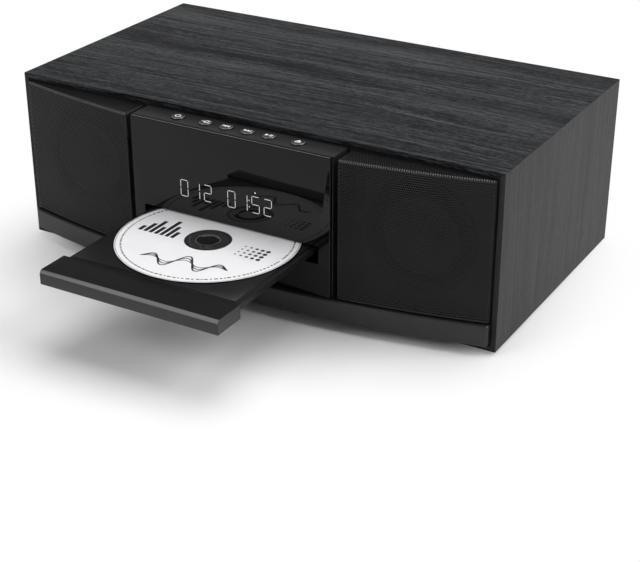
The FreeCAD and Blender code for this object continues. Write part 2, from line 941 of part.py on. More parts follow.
def loader_chassis():
    """Open tub on legs: tray guides at both sides, pinion pin in front, traverse bearings behind."""
    y = chassis_y
    floor = box(span(0, chassis_outer_x), y, (chassis_under_z, chassis_floor_z))
    well_y = (spindle_y - traverse_nose, pivot_y - 2 * (pivot_radius + bearing_wall))
    well = box(span(0, traverse_half_width + side_play), well_y, (chassis_under_z, chassis_floor_z))
    rib_x = (chassis_inner_x - guide_reach, chassis_inner_x)
    pieces = [
        box((chassis_inner_x, chassis_outer_x), y, (chassis_floor_z, wall_top_z)),
        box(rib_x, y, (guide_top_z - guide_rib, guide_top_z)),
        pivot_bearing(),
    ]
    for i in range(hold_tabs):
        start = y[0] + (y[1] - y[0] - hold_tab_length) * i / (hold_tabs - 1)
        pieces.append(
            box(
                (disc_radius + recess_play, chassis_inner_x),
                (start, start + hold_tab_length),
                (rail_top_z + slide_play, wall_top_z),
            )
        )
    leg_x = (chassis_outer_x - 2 * leg_half, chassis_outer_x)
    for leg_y in (y[0] + 2 * leg_half, y[1] - 2 * leg_half):
        pieces.append(box(leg_x, span(leg_y, leg_half), (inner_floor_z, chassis_under_z)))
    solids = [solid for piece in pieces for solid in both_sides(piece)]
    shoulder_z = (chassis_floor_z, wheel_bottom_z - slide_play)
    solids.append(column(pinion_shoulder, pinion_x, pinion_y, shoulder_z))
    pin_z = (shoulder_z[1], pinion_top_z - hub_play)
    solids.append(column(pinion_pin_radius, pinion_x, pinion_y, pin_z))
    save("loader_chassis", floor.cut(well).fuse(solids).removeSplitter())


def involute(radius, angle):
    """Point of an involute of a base circle, at an unwinding angle."""
    x = radius * (math.cos(angle) + angle * math.sin(angle))
    y = radius * (math.sin(angle) - angle * math.cos(angle))
    return math.hypot(x, y), math.atan2(y, x)


def pinion_outline(z):
    """Closed outline of the toothed wheel at a height, with one tooth towards the rack."""
    lean = math.radians(pressure_angle)
    base = pitch_radius * math.cos(lean)
    tip = pitch_radius + addendum * gear_module
    root = pitch_radius - dedendum * gear_module
    at_pitch = involute(base, math.tan(lean))[1]
    half_tooth = (tooth_pitch / 2 - backlash) / (2 * pitch_radius)
    last = math.sqrt((tip / base) ** 2 - 1)
    flank = [involute(base, last * i / flank_steps) for i in range(flank_steps + 1)]
    flank = [(root, flank[0][1])] + flank
    corners = []
    for tooth in range(pinion_teeth):
        middle = math.pi + 2 * math.pi * tooth / pinion_teeth
        rising = [(r, middle - half_tooth - at_pitch + a) for r, a in flank]
        falling = [(r, middle + half_tooth + at_pitch - a) for r, a in reversed(flank)]
        for r, a in rising + falling:
            corners.append(Vector(pinion_x + r * math.cos(a), pinion_y + r * math.sin(a), z))
    return corners


def grooved(radius):
    """Profile of a solid belt wheel with a groove in its rim."""
    floor = radius - belt_groove
    return [
        (0, wheel_bottom_z),
        (radius, wheel_bottom_z),
        (radius, belt_z - belt_groove),
        (floor, belt_z - belt_groove / 2),
        (floor, belt_z + belt_groove / 2),
        (radius, belt_z + belt_groove),
        (radius, wheel_top_z),
        (0, wheel_top_z),
    ]


def drive_pinion():
    """Pinion and belt wheel in one moulding, running on the chassis pin."""
    bore_radius = pinion_pin_radius + running_play
    wheel = faceted(grooved(wheel_radius), Z_AXIS, (pinion_x, pinion_y, 0))
    teeth = prism(pinion_outline(pinion_bottom_z), Z_AXIS * pinion_height)
    neck = column(pinion_neck, pinion_x, pinion_y, (wheel_top_z, pinion_bottom_z))
    bore = post(bore_radius, pinion_x, pinion_y, (wheel_bottom_z, pinion_top_z))
    save("drive_pinion", wheel.fuse([neck, teeth]).cut(bore).removeSplitter())


def belt_loop(big, small, z):
    """Outline of a belt that clears two wheels in a row along X, in short straight steps."""
    lean = math.acos((big - small) / motor_offset)
    corners = []
    ends = [(pinion_x, big, lean, 2 * math.pi - lean), (motor_x, small, -lean, lean)]
    for x, radius, start, end in ends:
        step = (end - start) / belt_steps
        reach = radius / math.cos(step / 2)
        for i in range(belt_steps + 1):
            turn = start + step * i
            corners.append(Vector(x + reach * math.cos(turn), pinion_y + reach * math.sin(turn), z))
    return flat_face(corners)


def loading_drive():
    """Motor on the chassis floor, its pulley, and the belt to the pinion wheel."""
    can = column(motor_radius, motor_x, pinion_y, (chassis_floor_z, motor_top_z), round_sides)
    shaft = column(motor_shaft_radius, motor_x, pinion_y, (motor_top_z, wheel_top_z))
    save("loading_motor", can.fuse(shaft).removeSplitter())
    pulley = faceted(grooved(pulley_radius), Z_AXIS, (motor_x, pinion_y, 0), small_sides)
    bore = post(motor_shaft_radius + running_play, motor_x, pinion_y, (wheel_bottom_z, wheel_top_z))
    save("motor_pulley", pulley.cut(bore))
    height = belt_width - 2 * belt_play
    thick = belt_width - belt_play
    big = wheel_radius - belt_groove + belt_play
    small = pulley_radius - belt_groove + belt_play
    low = belt_z - height / 2
    ring = belt_loop(big + thick, small + thick, low).cut(belt_loop(big, small, low))
    save("drive_belt", ring.extrude(Z_AXIS * height))


def lowered(shape):
    """Tip a traverse piece from its playing place down about the rear pivots."""
    return shape.rotated(Vector(0, pivot_y, pivot_z), X_AXIS, traverse_tilt)


def rod_holder(x, y):
    """Block under the plate with a notch from below, which holds one end of a guide rod."""
    half = rod_radius + holder_wall
    block = box(span(x, half), span(y, holder_wall), (rod_z - rod_radius, traverse_bottom_z))
    notch_z = (rod_z - rod_radius, rod_z + rod_radius)
    return block.cut(box(span(x, rod_radius), span(y, holder_wall), notch_z))


def traverse_chassis():
    """Plate with a window for the pickup, rod holders below and pivot pins at the rear."""
    half = traverse_half_width
    z = (traverse_bottom_z, traverse_top_z)
    plate = box(
        span(0, half), (spindle_y - traverse_nose, pivot_y + pivot_radius + bearing_wall), z
    )
    window = box(
        span(0, pickup_half_width + side_play), (rod_ends[0], rod_ends[1] - holder_wall), z
    )
    shaft_hole = column(shaft_hole_radius, 0, spindle_y, z)
    pieces = [rod_holder(x, y) for x in span(0, rod_half_gauge) for y in rod_ends]
    for start in (-half - pivot_length, half):
        pieces.append(bar(pivot_radius, pivot_length, (start, pivot_y, pivot_z), X_AXIS))
    body = plate.cut([window, shaft_hole]).fuse(pieces)
    save("traverse_chassis", lowered(body.removeSplitter()))


def spindle():
    """Motor under the plate and the turntable on its shaft."""
    can_z = (traverse_bottom_z - spindle_motor_height, traverse_bottom_z)
    can = column(spindle_motor_radius, 0, spindle_y, can_z, round_sides)
    shaft = column(spindle_shaft_radius, 0, spindle_y, (traverse_bottom_z, table_top_z))
    save("spindle_motor", lowered(can.fuse(shaft).removeSplitter()))
    hub_radius = disc_hole_radius - hub_play
    hub_top_z = table_top_z + hub_rise
    table = faceted(
        [
            (0, traverse_top_z + hub_play),
            (table_boss_radius, traverse_top_z + hub_play),
            (table_boss_radius, table_under_z),
            (table_radius, table_under_z),
            (table_radius, table_top_z),
            (hub_radius, table_top_z),
            (hub_radius, hub_top_z - hub_taper),
            (hub_radius - hub_taper, hub_top_z),
            (0, hub_top_z),
        ],
        Z_AXIS,
        (0, spindle_y, 0),
    )
    bore = post(spindle_shaft_radius + running_play, 0, spindle_y, (traverse_top_z, hub_top_z))
    save("turntable", lowered(table.cut(bore)))


def pickup():
    """Optical head on its two rods, with the lens in a collar on top."""
    top = traverse_top_z - hub_play
    under = rod_z - pickup_arm_half
    body = box(span(0, pickup_half_width), span(pickup_y, pickup_half_length), (under, top))
    arm_y = span(pickup_y, pickup_arm_length / 2)
    arm_x = (-screw_half_gauge - pickup_arm_half, rod_half_gauge + pickup_arm_half)
    arm = box(arm_x, arm_y, span(rod_z, pickup_arm_half))
    collar_top = top + lens_collar_rise
    collar = column(lens_collar, 0, pickup_y, (top, collar_top))
    bores = []
    for x in (-rod_half_gauge, rod_half_gauge, -screw_half_gauge):
        start = (x, pickup_y - pickup_half_length, rod_z)
        bores.append(bar(rod_radius + running_play, 2 * pickup_half_length, start, Y_AXIS))
    head = body.fuse([arm, collar]).cut(bores)
    save("optical_pickup", lowered(head.removeSplitter()))
    lens = column(lens_radius, 0, pickup_y, (collar_top, disc_z - lens_gap))
    save("pickup_lens", lowered(lens))


def sled():
    """Guide rods, and the lead screw that is its motor's own shaft."""
    start = rod_ends[0] - holder_wall
    length = rod_ends[1] + holder_wall - start
    rods = [bar(rod_radius, length, (x, start, rod_z), Y_AXIS) for x in span(0, rod_half_gauge)]
    save("guide_rods", lowered(group(rods)))
    x = -screw_half_gauge
    motor_end = start - slide_play
    motor = box(
        span(x, sled_motor_half),
        (motor_end - sled_motor_length, motor_end),
        (rod_z - sled_motor_half, traverse_bottom_z),
    )
    save("sled_motor", lowered(motor))
    screw_start = motor_end + running_play
    screw = rod(rod_radius, rod_ends[1] - screw_start, (x, screw_start, rod_z), Y_AXIS)
    save("lead_screw", lowered(screw))


def clamp():
    """Bridge over the tray and the clamper that hangs in it."""
    y = span(spindle_y, bridge_half_depth)
    top = bridge_z + bridge_thickness
    arch = box(span(0, chassis_outer_x), y, (wall_top_z, top))
    room = box(span(0, chassis_inner_x), y, (wall_top_z, bridge_z))
    hole = post(clamper_neck + recess_play, 0, spindle_y, (bridge_z, top))
    ribs = []
    for edge in (y[0], y[1] - bridge_thickness):
        rib_y = (edge, edge + bridge_thickness)
        ribs.append(box(span(0, chassis_inner_x), rib_y, (top, top + bridge_rib)))
    save("clamp_bridge", arch.cut([room, hole]).fuse(ribs).removeSplitter())
    low = disc_top_z + clamper_lift
    flange = top + slide_play
    puck = faceted(
        [
            (0, low + hub_rise),
            (disc_hole_radius, low + hub_rise),
            (disc_hole_radius, low),
            (clamper_radius, low),
            (clamper_radius, low + clamper_thickness),
            (clamper_neck, low + clamper_thickness),
            (clamper_neck, flange),
            (clamper_flange, flange),
            (clamper_flange, flange + clamper_flange_thickness),
            (0, flange + clamper_flange_thickness),
        ],
        Z_AXIS,
        (0, spindle_y, 0),
    )
    save("clamper", puck)


def main_board():
    """Board on hexagonal standoffs at the right, with a finned heat sink and two capacitors."""
    board_z = inner_floor_z + standoff_height
    top = board_z + board_thickness
    x = (chassis_outer_x + board_margin, inner_half_width - board_margin)
    y = (rear_inner - board_margin - main_board_depth, rear_inner - board_margin)
    middle = (x[0] + x[1]) / 2
    save("main_board", box(x, y, (board_z, top)))
    standoffs = []
    for px in (x[0] + standoff_inset, x[1] - standoff_inset):
        for py in (y[0] + standoff_inset, y[1] - standoff_inset):
            standoffs.append(column(standoff_radius, px, py, (inner_floor_z, board_z), standoff_sides))
    save("board_standoffs", group(standoffs))
    sink_y = (y[0] + sink_inset, y[0] + sink_inset + sink_depth)
    sink_half = ((fin_count - 1) * fin_pitch + fin_thickness) / 2
    base = box(span(middle, sink_half), sink_y, (top, top + sink_base))
    fins = []
    for i in range(fin_count):
        fin_x = middle - sink_half + i * fin_pitch
        fins.append(box((fin_x, fin_x + fin_thickness), sink_y, (top, top + fin_height)))
    save("heat_sink", base.fuse(fins).removeSplitter())
    cans = []
    for can_x in span(middle, can_pitch / 2):
        cans.append(column(can_radius, can_x, y[1] - can_inset, (top, top + can_height), round_sides))
    save("capacitors", group(cans))


def transformer():
    """Laminated core with two windows at the left, and the winding on its middle limb."""
    middle_y = rear_inner - board_margin - core_inset
    y = span(middle_y, core_depth / 2)
    half = core_width / 2
    gap = half - 2 * core_limb
    low = inner_floor_z
    core = box(span(-driver_x, half), y, (low, low + core_height))
    window_z = (low + core_limb, low + core_height - core_limb)
    cuts = []
    for start in (core_limb - half, core_limb):
        cuts.append(box((start - driver_x, start - driver_x + gap), y, window_z))
    save("transformer_core", core.cut(cuts))
    coil_z = (window_z[0] + slide_play, window_z[1] - slide_play)
    coil = box(
        span(-driver_x, core_limb + gap - slide_play),
        span(middle_y, core_depth / 2 + winding_overhang),
        coil_z,
    )
    coil = coil.makeChamfer(winding_edge, long_edges(coil, Z_AXIS))
    limb = box(
        span(-driver_x, core_limb + slide_play), span(middle_y, core_depth / 2 + slide_play), coil_z
    )
    save("transformer_winding", coil.cut(limb))


def rear_fittings():
    """Jack socket and cord gland, each through its own hole in the rear panel."""
    end = rear_face + fitting_rise
    collar = bar(jack_collar, end - rear_inner, (jack_x, rear_inner, jack_z), Y_AXIS, round_sides)
    body = box(
        span(jack_x, jack_body_half),
        (end - jack_length - fitting_rise, rear_inner),
        span(jack_z, jack_body_half),
    )
    bore = rod(jack_bore, jack_length, (jack_x, end - jack_length, jack_z), Y_AXIS)
    save("aux_jack", collar.fuse(body).cut(bore).removeSplitter())
    start = (gland_x, end - gland_length, gland_z)
    barrel = bar(gland_radius, gland_length - fitting_rise, start, Y_AXIS, round_sides)
    flange = box(
        span(gland_x, gland_flange_half), (rear_face, end), span(gland_z, gland_flange_half)
    )
    flange = flange.makeChamfer(gland_corner, long_edges(flange, Y_AXIS))
    hole = rod(gland_bore, gland_length, start, Y_AXIS)
    save("cord_gland", flange.fuse(barrel).cut(hole).removeSplitter())


def build():
    os.makedirs("parts", exist_ok=True)
    cabinet_boards()
    feet()
    rear_panel()
    front_baffle()
    base_skirt()
    grilles()
    console_shell()
    fascia_panel()
    keys()
    key_board()
    display()
    disc()
    disc_tray()
    tray_front()
    drivers()
    loader_chassis()
    drive_pinion()
    loading_drive()
    traverse_chassis()
    spindle()
    pickup()
    sled()
    clamp()
    main_board()
    transformer()
    rear_fittings()


build()
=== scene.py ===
import json
import math
import random

import bmesh
import bpy
import numpy as np
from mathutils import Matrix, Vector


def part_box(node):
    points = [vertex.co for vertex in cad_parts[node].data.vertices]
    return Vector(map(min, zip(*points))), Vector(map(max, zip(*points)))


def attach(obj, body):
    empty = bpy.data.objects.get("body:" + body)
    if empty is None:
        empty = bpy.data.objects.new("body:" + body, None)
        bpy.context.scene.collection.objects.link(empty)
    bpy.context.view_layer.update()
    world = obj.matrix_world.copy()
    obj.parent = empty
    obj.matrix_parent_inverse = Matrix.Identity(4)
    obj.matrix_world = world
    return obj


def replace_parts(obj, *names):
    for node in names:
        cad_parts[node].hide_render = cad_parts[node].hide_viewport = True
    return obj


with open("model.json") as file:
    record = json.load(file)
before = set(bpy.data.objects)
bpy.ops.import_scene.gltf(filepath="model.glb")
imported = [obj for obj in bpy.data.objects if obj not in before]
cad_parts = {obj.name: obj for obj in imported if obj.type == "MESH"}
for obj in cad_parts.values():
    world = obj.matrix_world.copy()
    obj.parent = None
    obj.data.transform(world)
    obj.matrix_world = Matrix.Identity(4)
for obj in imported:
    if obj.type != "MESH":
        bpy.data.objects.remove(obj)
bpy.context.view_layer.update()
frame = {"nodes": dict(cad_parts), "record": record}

# Pieces are written in millimetres and the scene is in metres
MM = 0.001
NODE_SLOT = {part["node"]: part["material_slot"] for part in frame["record"]["subparts"]}
NODE_BODY = {n: b for b, nodes in frame["record"]["behaviour"]["bodies"].items() for n in nodes}
SIDES = ("left", "right")

# Camera, at the photograph's viewing angle
CAMERA_PLACE = (0.4905, -0.78205, 0.4631)
CAMERA_AZIMUTH = 30.03
CAMERA_ELEVATION = 26.99
CAMERA_LENS = 83.57
SENSOR_WIDTH = 36.0

# Wood grain: how far the lines wander and slip, in metres, and the share of each layer
GRAIN_WANDER = 0.006
GRAIN_SLIP = 0.03
BAND_SHARE = 0.17
STREAK_SHARE = 0.31
FLECK_SHARE = 0.52
WOOD_GLOSS = (0.50, 0.36)

# Feet, which are dished underneath
FOOT_RADIUS = 9.0
FOOT_DISH = 4.5
FOOT_DISH_RISE = 0.5
FOOT_DISH_SLOPE = 0.7
FOOT_EASE = 0.5

# Grille sheet: holes along a row are this far apart, and every other row is staggered
HOLE_PITCH = 1.49
HOLE_RADIUS = 0.58
HOLE_SIDES = 12
HOLE_DEPTH = 0.25
BRIDGE_WIDTH = 0.7
FOLD_RADIUS = 0.9
FOLD_STEPS = 4
BOW_RADIUS = 712.06
BOW_FRONT = -54.75
BOW_STEPS = 65

# Keys: the ears hold each one in under the ledge
KEY_RADIUS = 4.5
KEY_EAR = 1.0
KEY_EAR_TOP = 2.5
KEY_STEM_HALF = 1.5
KEY_DISH = 0.12
KEY_CHAMFER = (0.5, 0.7)
SYMBOL_SCALE = 1.3

# Pale strip along the fascia's upper edge, a painted highlight of that edge: its ends, and its reach
# behind the front
HIGHLIGHT_STRIP_END = 0.5
HIGHLIGHT_STRIP_REACH = (0.35, 1.05)

# Lit digits behind the fascia: places along the row, and the bars that light up in each
DIGITS = ((0, "0"), (1, "1"), (2, "2"), (4, "0"), (5, "1"), (6, "5"), (7, "2"))
SEGMENTS = {"0": "abcdef", "1": "bc", "2": "abdeg", "5": "acdfg"}
DIGIT_START = -37.0
DIGIT_PITCH = 9.17
DIGIT_WIDTH = 5.6
DIGIT_HEIGHT = 11.3
DIGIT_BASE = 70.1
DIGIT_STROKE = 0.42
DIGIT_GAP = 0.45
COLON_PLACE = 53.0
COLON_HEIGHTS = (0.3 * DIGIT_HEIGHT, 0.7 * DIGIT_HEIGHT)
COLON_HALF = 0.35
POINTER_PLACE = 6
POINTER_RISE = 2.6
POINTER_SIZE = (1.3, 1.5)

# Printed layers stand this far off what they are printed on
PRINT = 0.03

# Disc, and the print on it
DISC_HOLE = 7.5
DISC_RIM = 60.0
# Pale ring round the hole: a painted highlight of the hole's edge, not print
HOLE_HIGHLIGHT = (7.65, 8.05)
HUB_RADIUS = 14.2
HUB_GROOVE = (0.5, 0.12)
LABEL_START = HUB_RADIUS + 0.9
LABEL_RADIUS = 59.8
RIM_LINE = 58.9
RING_WIDTH = 0.35
MIRROR_BAND = (22.0, 58.6)
DASH_RADIUS = 55.6
DASH_WIDTH = 1.1
BAR_LEVELS = (7.0, 13.0, 19.0, 11.0, 23.0, 16.0, 9.0)
BAR_CORNER = (-49.0, -9.0)
BAR_PITCH = 4.2
BAR_WIDTH = 2.9
WAVE_HEIGHTS = (9.0, 6.0, 3.0)
WAVE_POINTS = 60
DOT_CORNER = (26.0, 4.0)
DOT_PITCH = 4.2
LINE_CORNER = (-14.0, 28.0)
LINE_PITCH = 4.6
LINE_WIDTH = 1.4

# Speaker drivers
CONE_DEPTH = 11.0
CONE_LIP = 1.0
CONE_STEPS = 12
CONE_DENT = 0.16
DOME_STEPS = 12
ROLL_STEPS = 16
ROLL_LIP = 0.9
ROLL_FOOT = 0.8

# Rear panel
SCREW_MARGIN = 6.0
SCREW_RADIUS = 2.6
SCREW_HEIGHT = 1.1
RECESS_DEPTH = 0.7
JACK_BORE = 1.8
JACK_COLLAR = 4.0

# Floor, which fades to white between two distances, and the light in the room
FLOOR_HALF = 6.0
FLOOR_COLOUR = 0.90
FLOOR_FADE = (0.24, 0.46)
FADE_CENTRE = (0.01, -0.11, 0.0)
FADE_SHAPE = (1.75, 0.9, 1.0)
SKY_LIGHT = 0.34
CEILING_LIGHT = 0.16
WALL_TOP = (0.14, 0.42)

# Sides of turned pieces
ROUND = 96
DISC_ROUND = 160
SMALL_ROUND = 64
SCREW_ROUND = 36

# Angles, in degrees: edges that are eased, and those that stay sharp in the shading
EASED_EDGE = 32.0
SHARP_SHADING = 35.0
SHARP_NEAR_EASED = 20.0


def box_of(node):
    """Lowest and highest corner of a node, in millimetres."""
    low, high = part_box(node)
    return low / MM, high / MM


# Materials

def add_node(tree, kind, inputs=None, **settings):
    """A shader node with its settings, and its inputs set or linked."""
    made = tree.nodes.new(kind)
    for key, value in settings.items():
        setattr(made, key, value)
    for key, value in (inputs or {}).items():
        if isinstance(value, bpy.types.NodeSocket):
            tree.links.new(value, made.inputs[key])
        else:
            made.inputs[key].default_value = value
    return made


def blank(name, **sockets):
    """A material with its own sockets set; returns it, its tree and its shader."""
    finish = bpy.data.materials.new(name)
    finish.use_nodes = True
    shader = finish.node_tree.nodes["Principled BSDF"]
    for key, value in sockets.items():
        shader.inputs[key.replace("_", " ")].default_value = value
    return finish, finish.node_tree, shader


def places(tree):
    return add_node(tree, "ShaderNodeTexCoord").outputs["Object"]


def noise(tree, vector, stretch, detail=3.0, roughness=0.55):
    """Noise whose features are 1/stretch metres long along each axis."""
    scaled = add_node(tree, "ShaderNodeMapping", {"Vector": vector, "Scale": stretch})
    made = add_node(
        tree,
        "ShaderNodeTexNoise",
        {"Vector": scaled.outputs["Vector"], "Scale": 1.0, "Detail": detail, "Roughness": roughness},
    )
    return made.outputs["Fac"]


def combine(tree, operation, a, b, c=None):
    inputs = {0: a, 1: b}
    if c is not None:
        inputs[2] = c
    return add_node(tree, "ShaderNodeMath", inputs, operation=operation).outputs["Value"]


def ramp(tree, factor, stops):
    """Colours between the given stops of (position, red, green, blue)."""
    made = add_node(tree, "ShaderNodeValToRGB", {"Fac": factor})
    elements = made.color_ramp.elements
    while len(elements) < len(stops):
        elements.new(0.5)
    for element, (position, *colour) in zip(elements, stops):
        element.position = position
        element.color = (*colour, 1.0)
    return made.outputs["Color"]


def spread(tree, factor, low, high, source=(0.3, 0.7)):
    """Maps the usual reach of a noise to the range from low to high."""
    made = add_node(
        tree,
        "ShaderNodeMapRange",
        {"Value": factor, "From Min": source[0], "From Max": source[1], "To Min": low, "To Max": high},
    )
    return made.outputs["Result"]


def bump(tree, shader, height, strength, depth_mm):
    made = add_node(
        tree, "ShaderNodeBump", {"Height": height, "Strength": strength, "Distance": depth_mm * MM}
    )
    tree.links.new(made.outputs["Normal"], shader.inputs["Normal"])


def wood(name, along, shades, sheen):
    """Black ash veneer: broad bands, long streaks and short flecks along one axis.

    The grain wanders a little, and fine lines slip along it so that flecks don't line up."""
    finish, tree, shader = blank(name, Specular_IOR_Level=sheen)
    place = places(tree)

    def stretched(length, across):
        return [length if axis == along else across for axis in "xyz"]

    drift = noise(tree, place, stretched(3.0, 14.0), 2.0)
    slip = noise(tree, place, stretched(2.0, 1100.0), 1.0)
    shift = add_node(
        tree,
        "ShaderNodeCombineXYZ",
        {
            "Y": spread(tree, drift, -GRAIN_WANDER, GRAIN_WANDER),
            along.upper(): spread(tree, slip, 0.0, GRAIN_SLIP),
        },
    )
    bent = add_node(
        tree, "ShaderNodeVectorMath", {0: place, 1: shift.outputs["Vector"]}, operation="ADD"
    ).outputs["Vector"]
    bands = noise(tree, bent, stretched(1.5, 34.0), 2.0)
    streaks = noise(tree, bent, stretched(9.0, 460.0), 3.0, 0.6)
    flecks = noise(tree, bent, stretched(300.0, 1000.0), 1.5, 0.6)
    grain = combine(tree, "MULTIPLY", streaks, STREAK_SHARE)
    grain = combine(tree, "MULTIPLY_ADD", bands, BAND_SHARE, grain)
    grain = combine(tree, "MULTIPLY_ADD", flecks, FLECK_SHARE, grain)
    tree.links.new(ramp(tree, grain, shades), shader.inputs["Base Color"])
    tree.links.new(spread(tree, grain, *WOOD_GLOSS, (0.35, 0.65)), shader.inputs["Roughness"])
    bump(tree, shader, grain, 0.35, 0.1)
    return finish


def moulded(name, dark, light, gloss, grain_mm=0.5, relief=0.25, **sockets):
    """Plastic, paint or rubber: a faint mottle, a fine surface grain and uneven gloss."""
    finish, tree, shader = blank(name, **sockets)
    place = places(tree)
    mottle = noise(tree, place, (70.0,) * 3, 4.0)
    grain = noise(tree, place, (1 / (grain_mm * MM),) * 3, 2.0)
    smears = noise(tree, place, (22.0, 34.0, 28.0), 3.0)
    tree.links.new(ramp(tree, mottle, [(0.3, *dark), (0.7, *light)]), shader.inputs["Base Color"])
    tree.links.new(spread(tree, smears, gloss[0], gloss[1]), shader.inputs["Roughness"])
    bump(tree, shader, grain, relief, 0.04)
    return finish


def brushed(name, dark, light, along, gloss):
    """Bare metal with fine drawn lines along one axis."""
    finish, tree, shader = blank(name, Metallic=1.0)
    stretch = [40.0 if axis == along else 2400.0 for axis in "xyz"]
    lines = noise(tree, places(tree), stretch, 4.0, 0.6)
    tree.links.new(ramp(tree, lines, [(0.3, *dark), (0.7, *light)]), shader.inputs["Base Color"])
    tree.links.new(spread(tree, lines, gloss[0], gloss[1]), shader.inputs["Roughness"])
    bump(tree, shader, lines, 0.15, 0.02)
    return finish


def wound(name):
    """Enamelled wire in close turns under clear tape."""
    finish, tree, shader = blank(name, Metallic=0.75, Coat_Weight=0.4, Coat_Roughness=0.2)
    place = places(tree)
    turns = add_node(
        tree, "ShaderNodeTexWave", {"Vector": place, "Scale": 260.0, "Distortion": 0.6, "Detail": 2.0},
        bands_direction="Z",
    ).outputs["Fac"]
    tree.links.new(
        ramp(tree, turns, [(0.1, 0.16, 0.06, 0.02), (0.8, 0.62, 0.30, 0.13)]),
        shader.inputs["Base Color"],
    )
    tree.links.new(spread(tree, turns, 0.45, 0.25, (0.0, 1.0)), shader.inputs["Roughness"])
    bump(tree, shader, turns, 0.6, 0.25)
    return finish


def circuit_board(name):
    """Solder mask over faint copper runs."""
    finish, tree, shader = blank(name, Coat_Weight=0.3, Coat_Roughness=0.15)
    place = places(tree)
    runs = noise(tree, place, (420.0, 420.0, 60.0), 1.0)
    shades = [(0.46, 0.012, 0.075, 0.028), (0.52, 0.03, 0.15, 0.06)]
    tree.links.new(ramp(tree, runs, shades), shader.inputs["Base Color"])
    tree.links.new(spread(tree, runs, 0.32, 0.48), shader.inputs["Roughness"])
    bump(tree, shader, runs, 0.2, 0.05)
    return finish


def gloss_panel(name):
    """Polished smoked plate: near black, with the faintest haze."""
    finish, tree, shader = blank(name, Specular_IOR_Level=0.22)
    place = places(tree)
    haze = noise(tree, place, (14.0, 14.0, 18.0), 4.0)
    tree.links.new(
        ramp(tree, haze, [(0.3, 0.0025, 0.0025, 0.0027), (0.7, 0.0045, 0.0045, 0.0048)]),
        shader.inputs["Base Color"],
    )
    tree.links.new(spread(tree, haze, 0.025, 0.055), shader.inputs["Roughness"])
    return finish


def lit(name, colour, strength):
    """Lit segment, a little uneven along its length."""
    finish, tree, shader = blank(name, Roughness=0.5, Emission_Strength=strength)
    glow = noise(tree, places(tree), (500.0,) * 3, 1.0)
    dim = [0.86 * c for c in colour]
    tree.links.new(ramp(tree, glow, [(0.3, *dim), (0.7, *colour)]), shader.inputs["Emission Color"])
    shader.inputs["Base Color"].default_value = (0.02, 0.02, 0.02, 1.0)
    return finish


def grey(value):
    return (value, value, value * 1.02)


TOP_SHADES = [
    (0.435, 0.0010, 0.0013, 0.0018),
    (0.50, 0.0130, 0.0143, 0.0158),
    (0.565, 0.0580, 0.0612, 0.0650),
]
# The sides use the same veneer as the top, given flatter shades with a lighter dark end so that they
# read as the lit faces: painted light, not another wood
SIDE_PAINTED_LIGHT_SHADES = [
    (0.43, 0.0090, 0.0092, 0.0096),
    (0.50, 0.0150, 0.0153, 0.0158),
    (0.57, 0.0240, 0.0244, 0.0250),
]
FINISHES = {
    "trim": moulded(
        "trim_plastic", grey(0.010), grey(0.014), (0.38, 0.46), 0.45, 0.3, Specular_IOR_Level=0.4
    ),
    "fascia": gloss_panel("smoked_gloss"),
    "grille": moulded(
        "grille_paint", grey(0.009), grey(0.012), (0.34, 0.44), 0.3, 0.2, Specular_IOR_Level=0.26
    ),
    "tray": moulded(
        "tray_plastic", grey(0.008), grey(0.011), (0.28, 0.36), 0.35, 0.2, Specular_IOR_Level=0.35
    ),
    "disc": moulded(
        "disc_plastic", grey(0.012), grey(0.018), (0.04, 0.09), 2.0, 0.02, Coat_Weight=0.5
    ),
    "rubber": moulded("rubber", grey(0.010), grey(0.016), (0.62, 0.78), 0.4, 0.5),
    "board": circuit_board("circuit_board"),
    "component": moulded("component_plastic", grey(0.012), grey(0.02), (0.4, 0.55), 0.3, 0.3),
    "display": moulded("display_glass", grey(0.004), grey(0.007), (0.06, 0.12), 2.0, 0.03),
    "steel": brushed("zinc_steel", grey(0.40), grey(0.58), "z", (0.28, 0.42)),
    "magnet": moulded("ferrite", grey(0.018), grey(0.035), (0.6, 0.75), 0.6, 0.5),
    "cone": moulded(
        "pulp_cone", grey(0.010), grey(0.014), (0.6, 0.8), 0.7, 0.7, Specular_IOR_Level=0.08
    ),
    "aluminium": brushed("extruded_aluminium", grey(0.52), grey(0.68), "z", (0.25, 0.4)),
    "copper": wound("copper_winding"),
    "loader": moulded("filled_plastic", grey(0.045), grey(0.065), (0.42, 0.56), 0.4, 0.4),
    "gear": moulded("acetal", grey(0.62), grey(0.72), (0.35, 0.45), 0.8, 0.15),
    "lens": moulded(
        "lens_glass", (0.10, 0.14, 0.26), (0.16, 0.20, 0.36), (0.03, 0.06), 2.0, 0.01, Coat_Weight=1.0
    ),
    "panel": moulded("panel_board", grey(0.018), grey(0.022), (0.55, 0.62), 0.7, 0.5),
}
WOOD_LONG = wood("ash_long_grain", "x", TOP_SHADES, 0.05)
# The upright copy carries the sides' painted light: other shades and more sheen on the same veneer, with
# the grain running upright
WOOD_UPRIGHT_PAINTED_LIGHT = wood("ash_upright_grain_painted_light", "z", SIDE_PAINTED_LIGHT_SHADES, 0.14)
BAR_FINISH = moulded("bar_plastic", grey(0.004), grey(0.006), (0.15, 0.20), 0.5, 0.05)
BAFFLE_FINISH = moulded(
    "baffle_paint", grey(0.013), grey(0.017), (0.6, 0.75), 0.7, 0.4, Specular_IOR_Level=0.08
)
BASKET_FINISH = moulded(
    "basket_paint", grey(0.002), grey(0.003), (0.5, 0.6), 0.5, 0.3, Specular_IOR_Level=0.08
)
ROLL_FINISH = moulded(
    "roll_rubber", grey(0.0015), grey(0.0025), (0.6, 0.7), 0.4, 0.3, Specular_IOR_Level=0.05
)
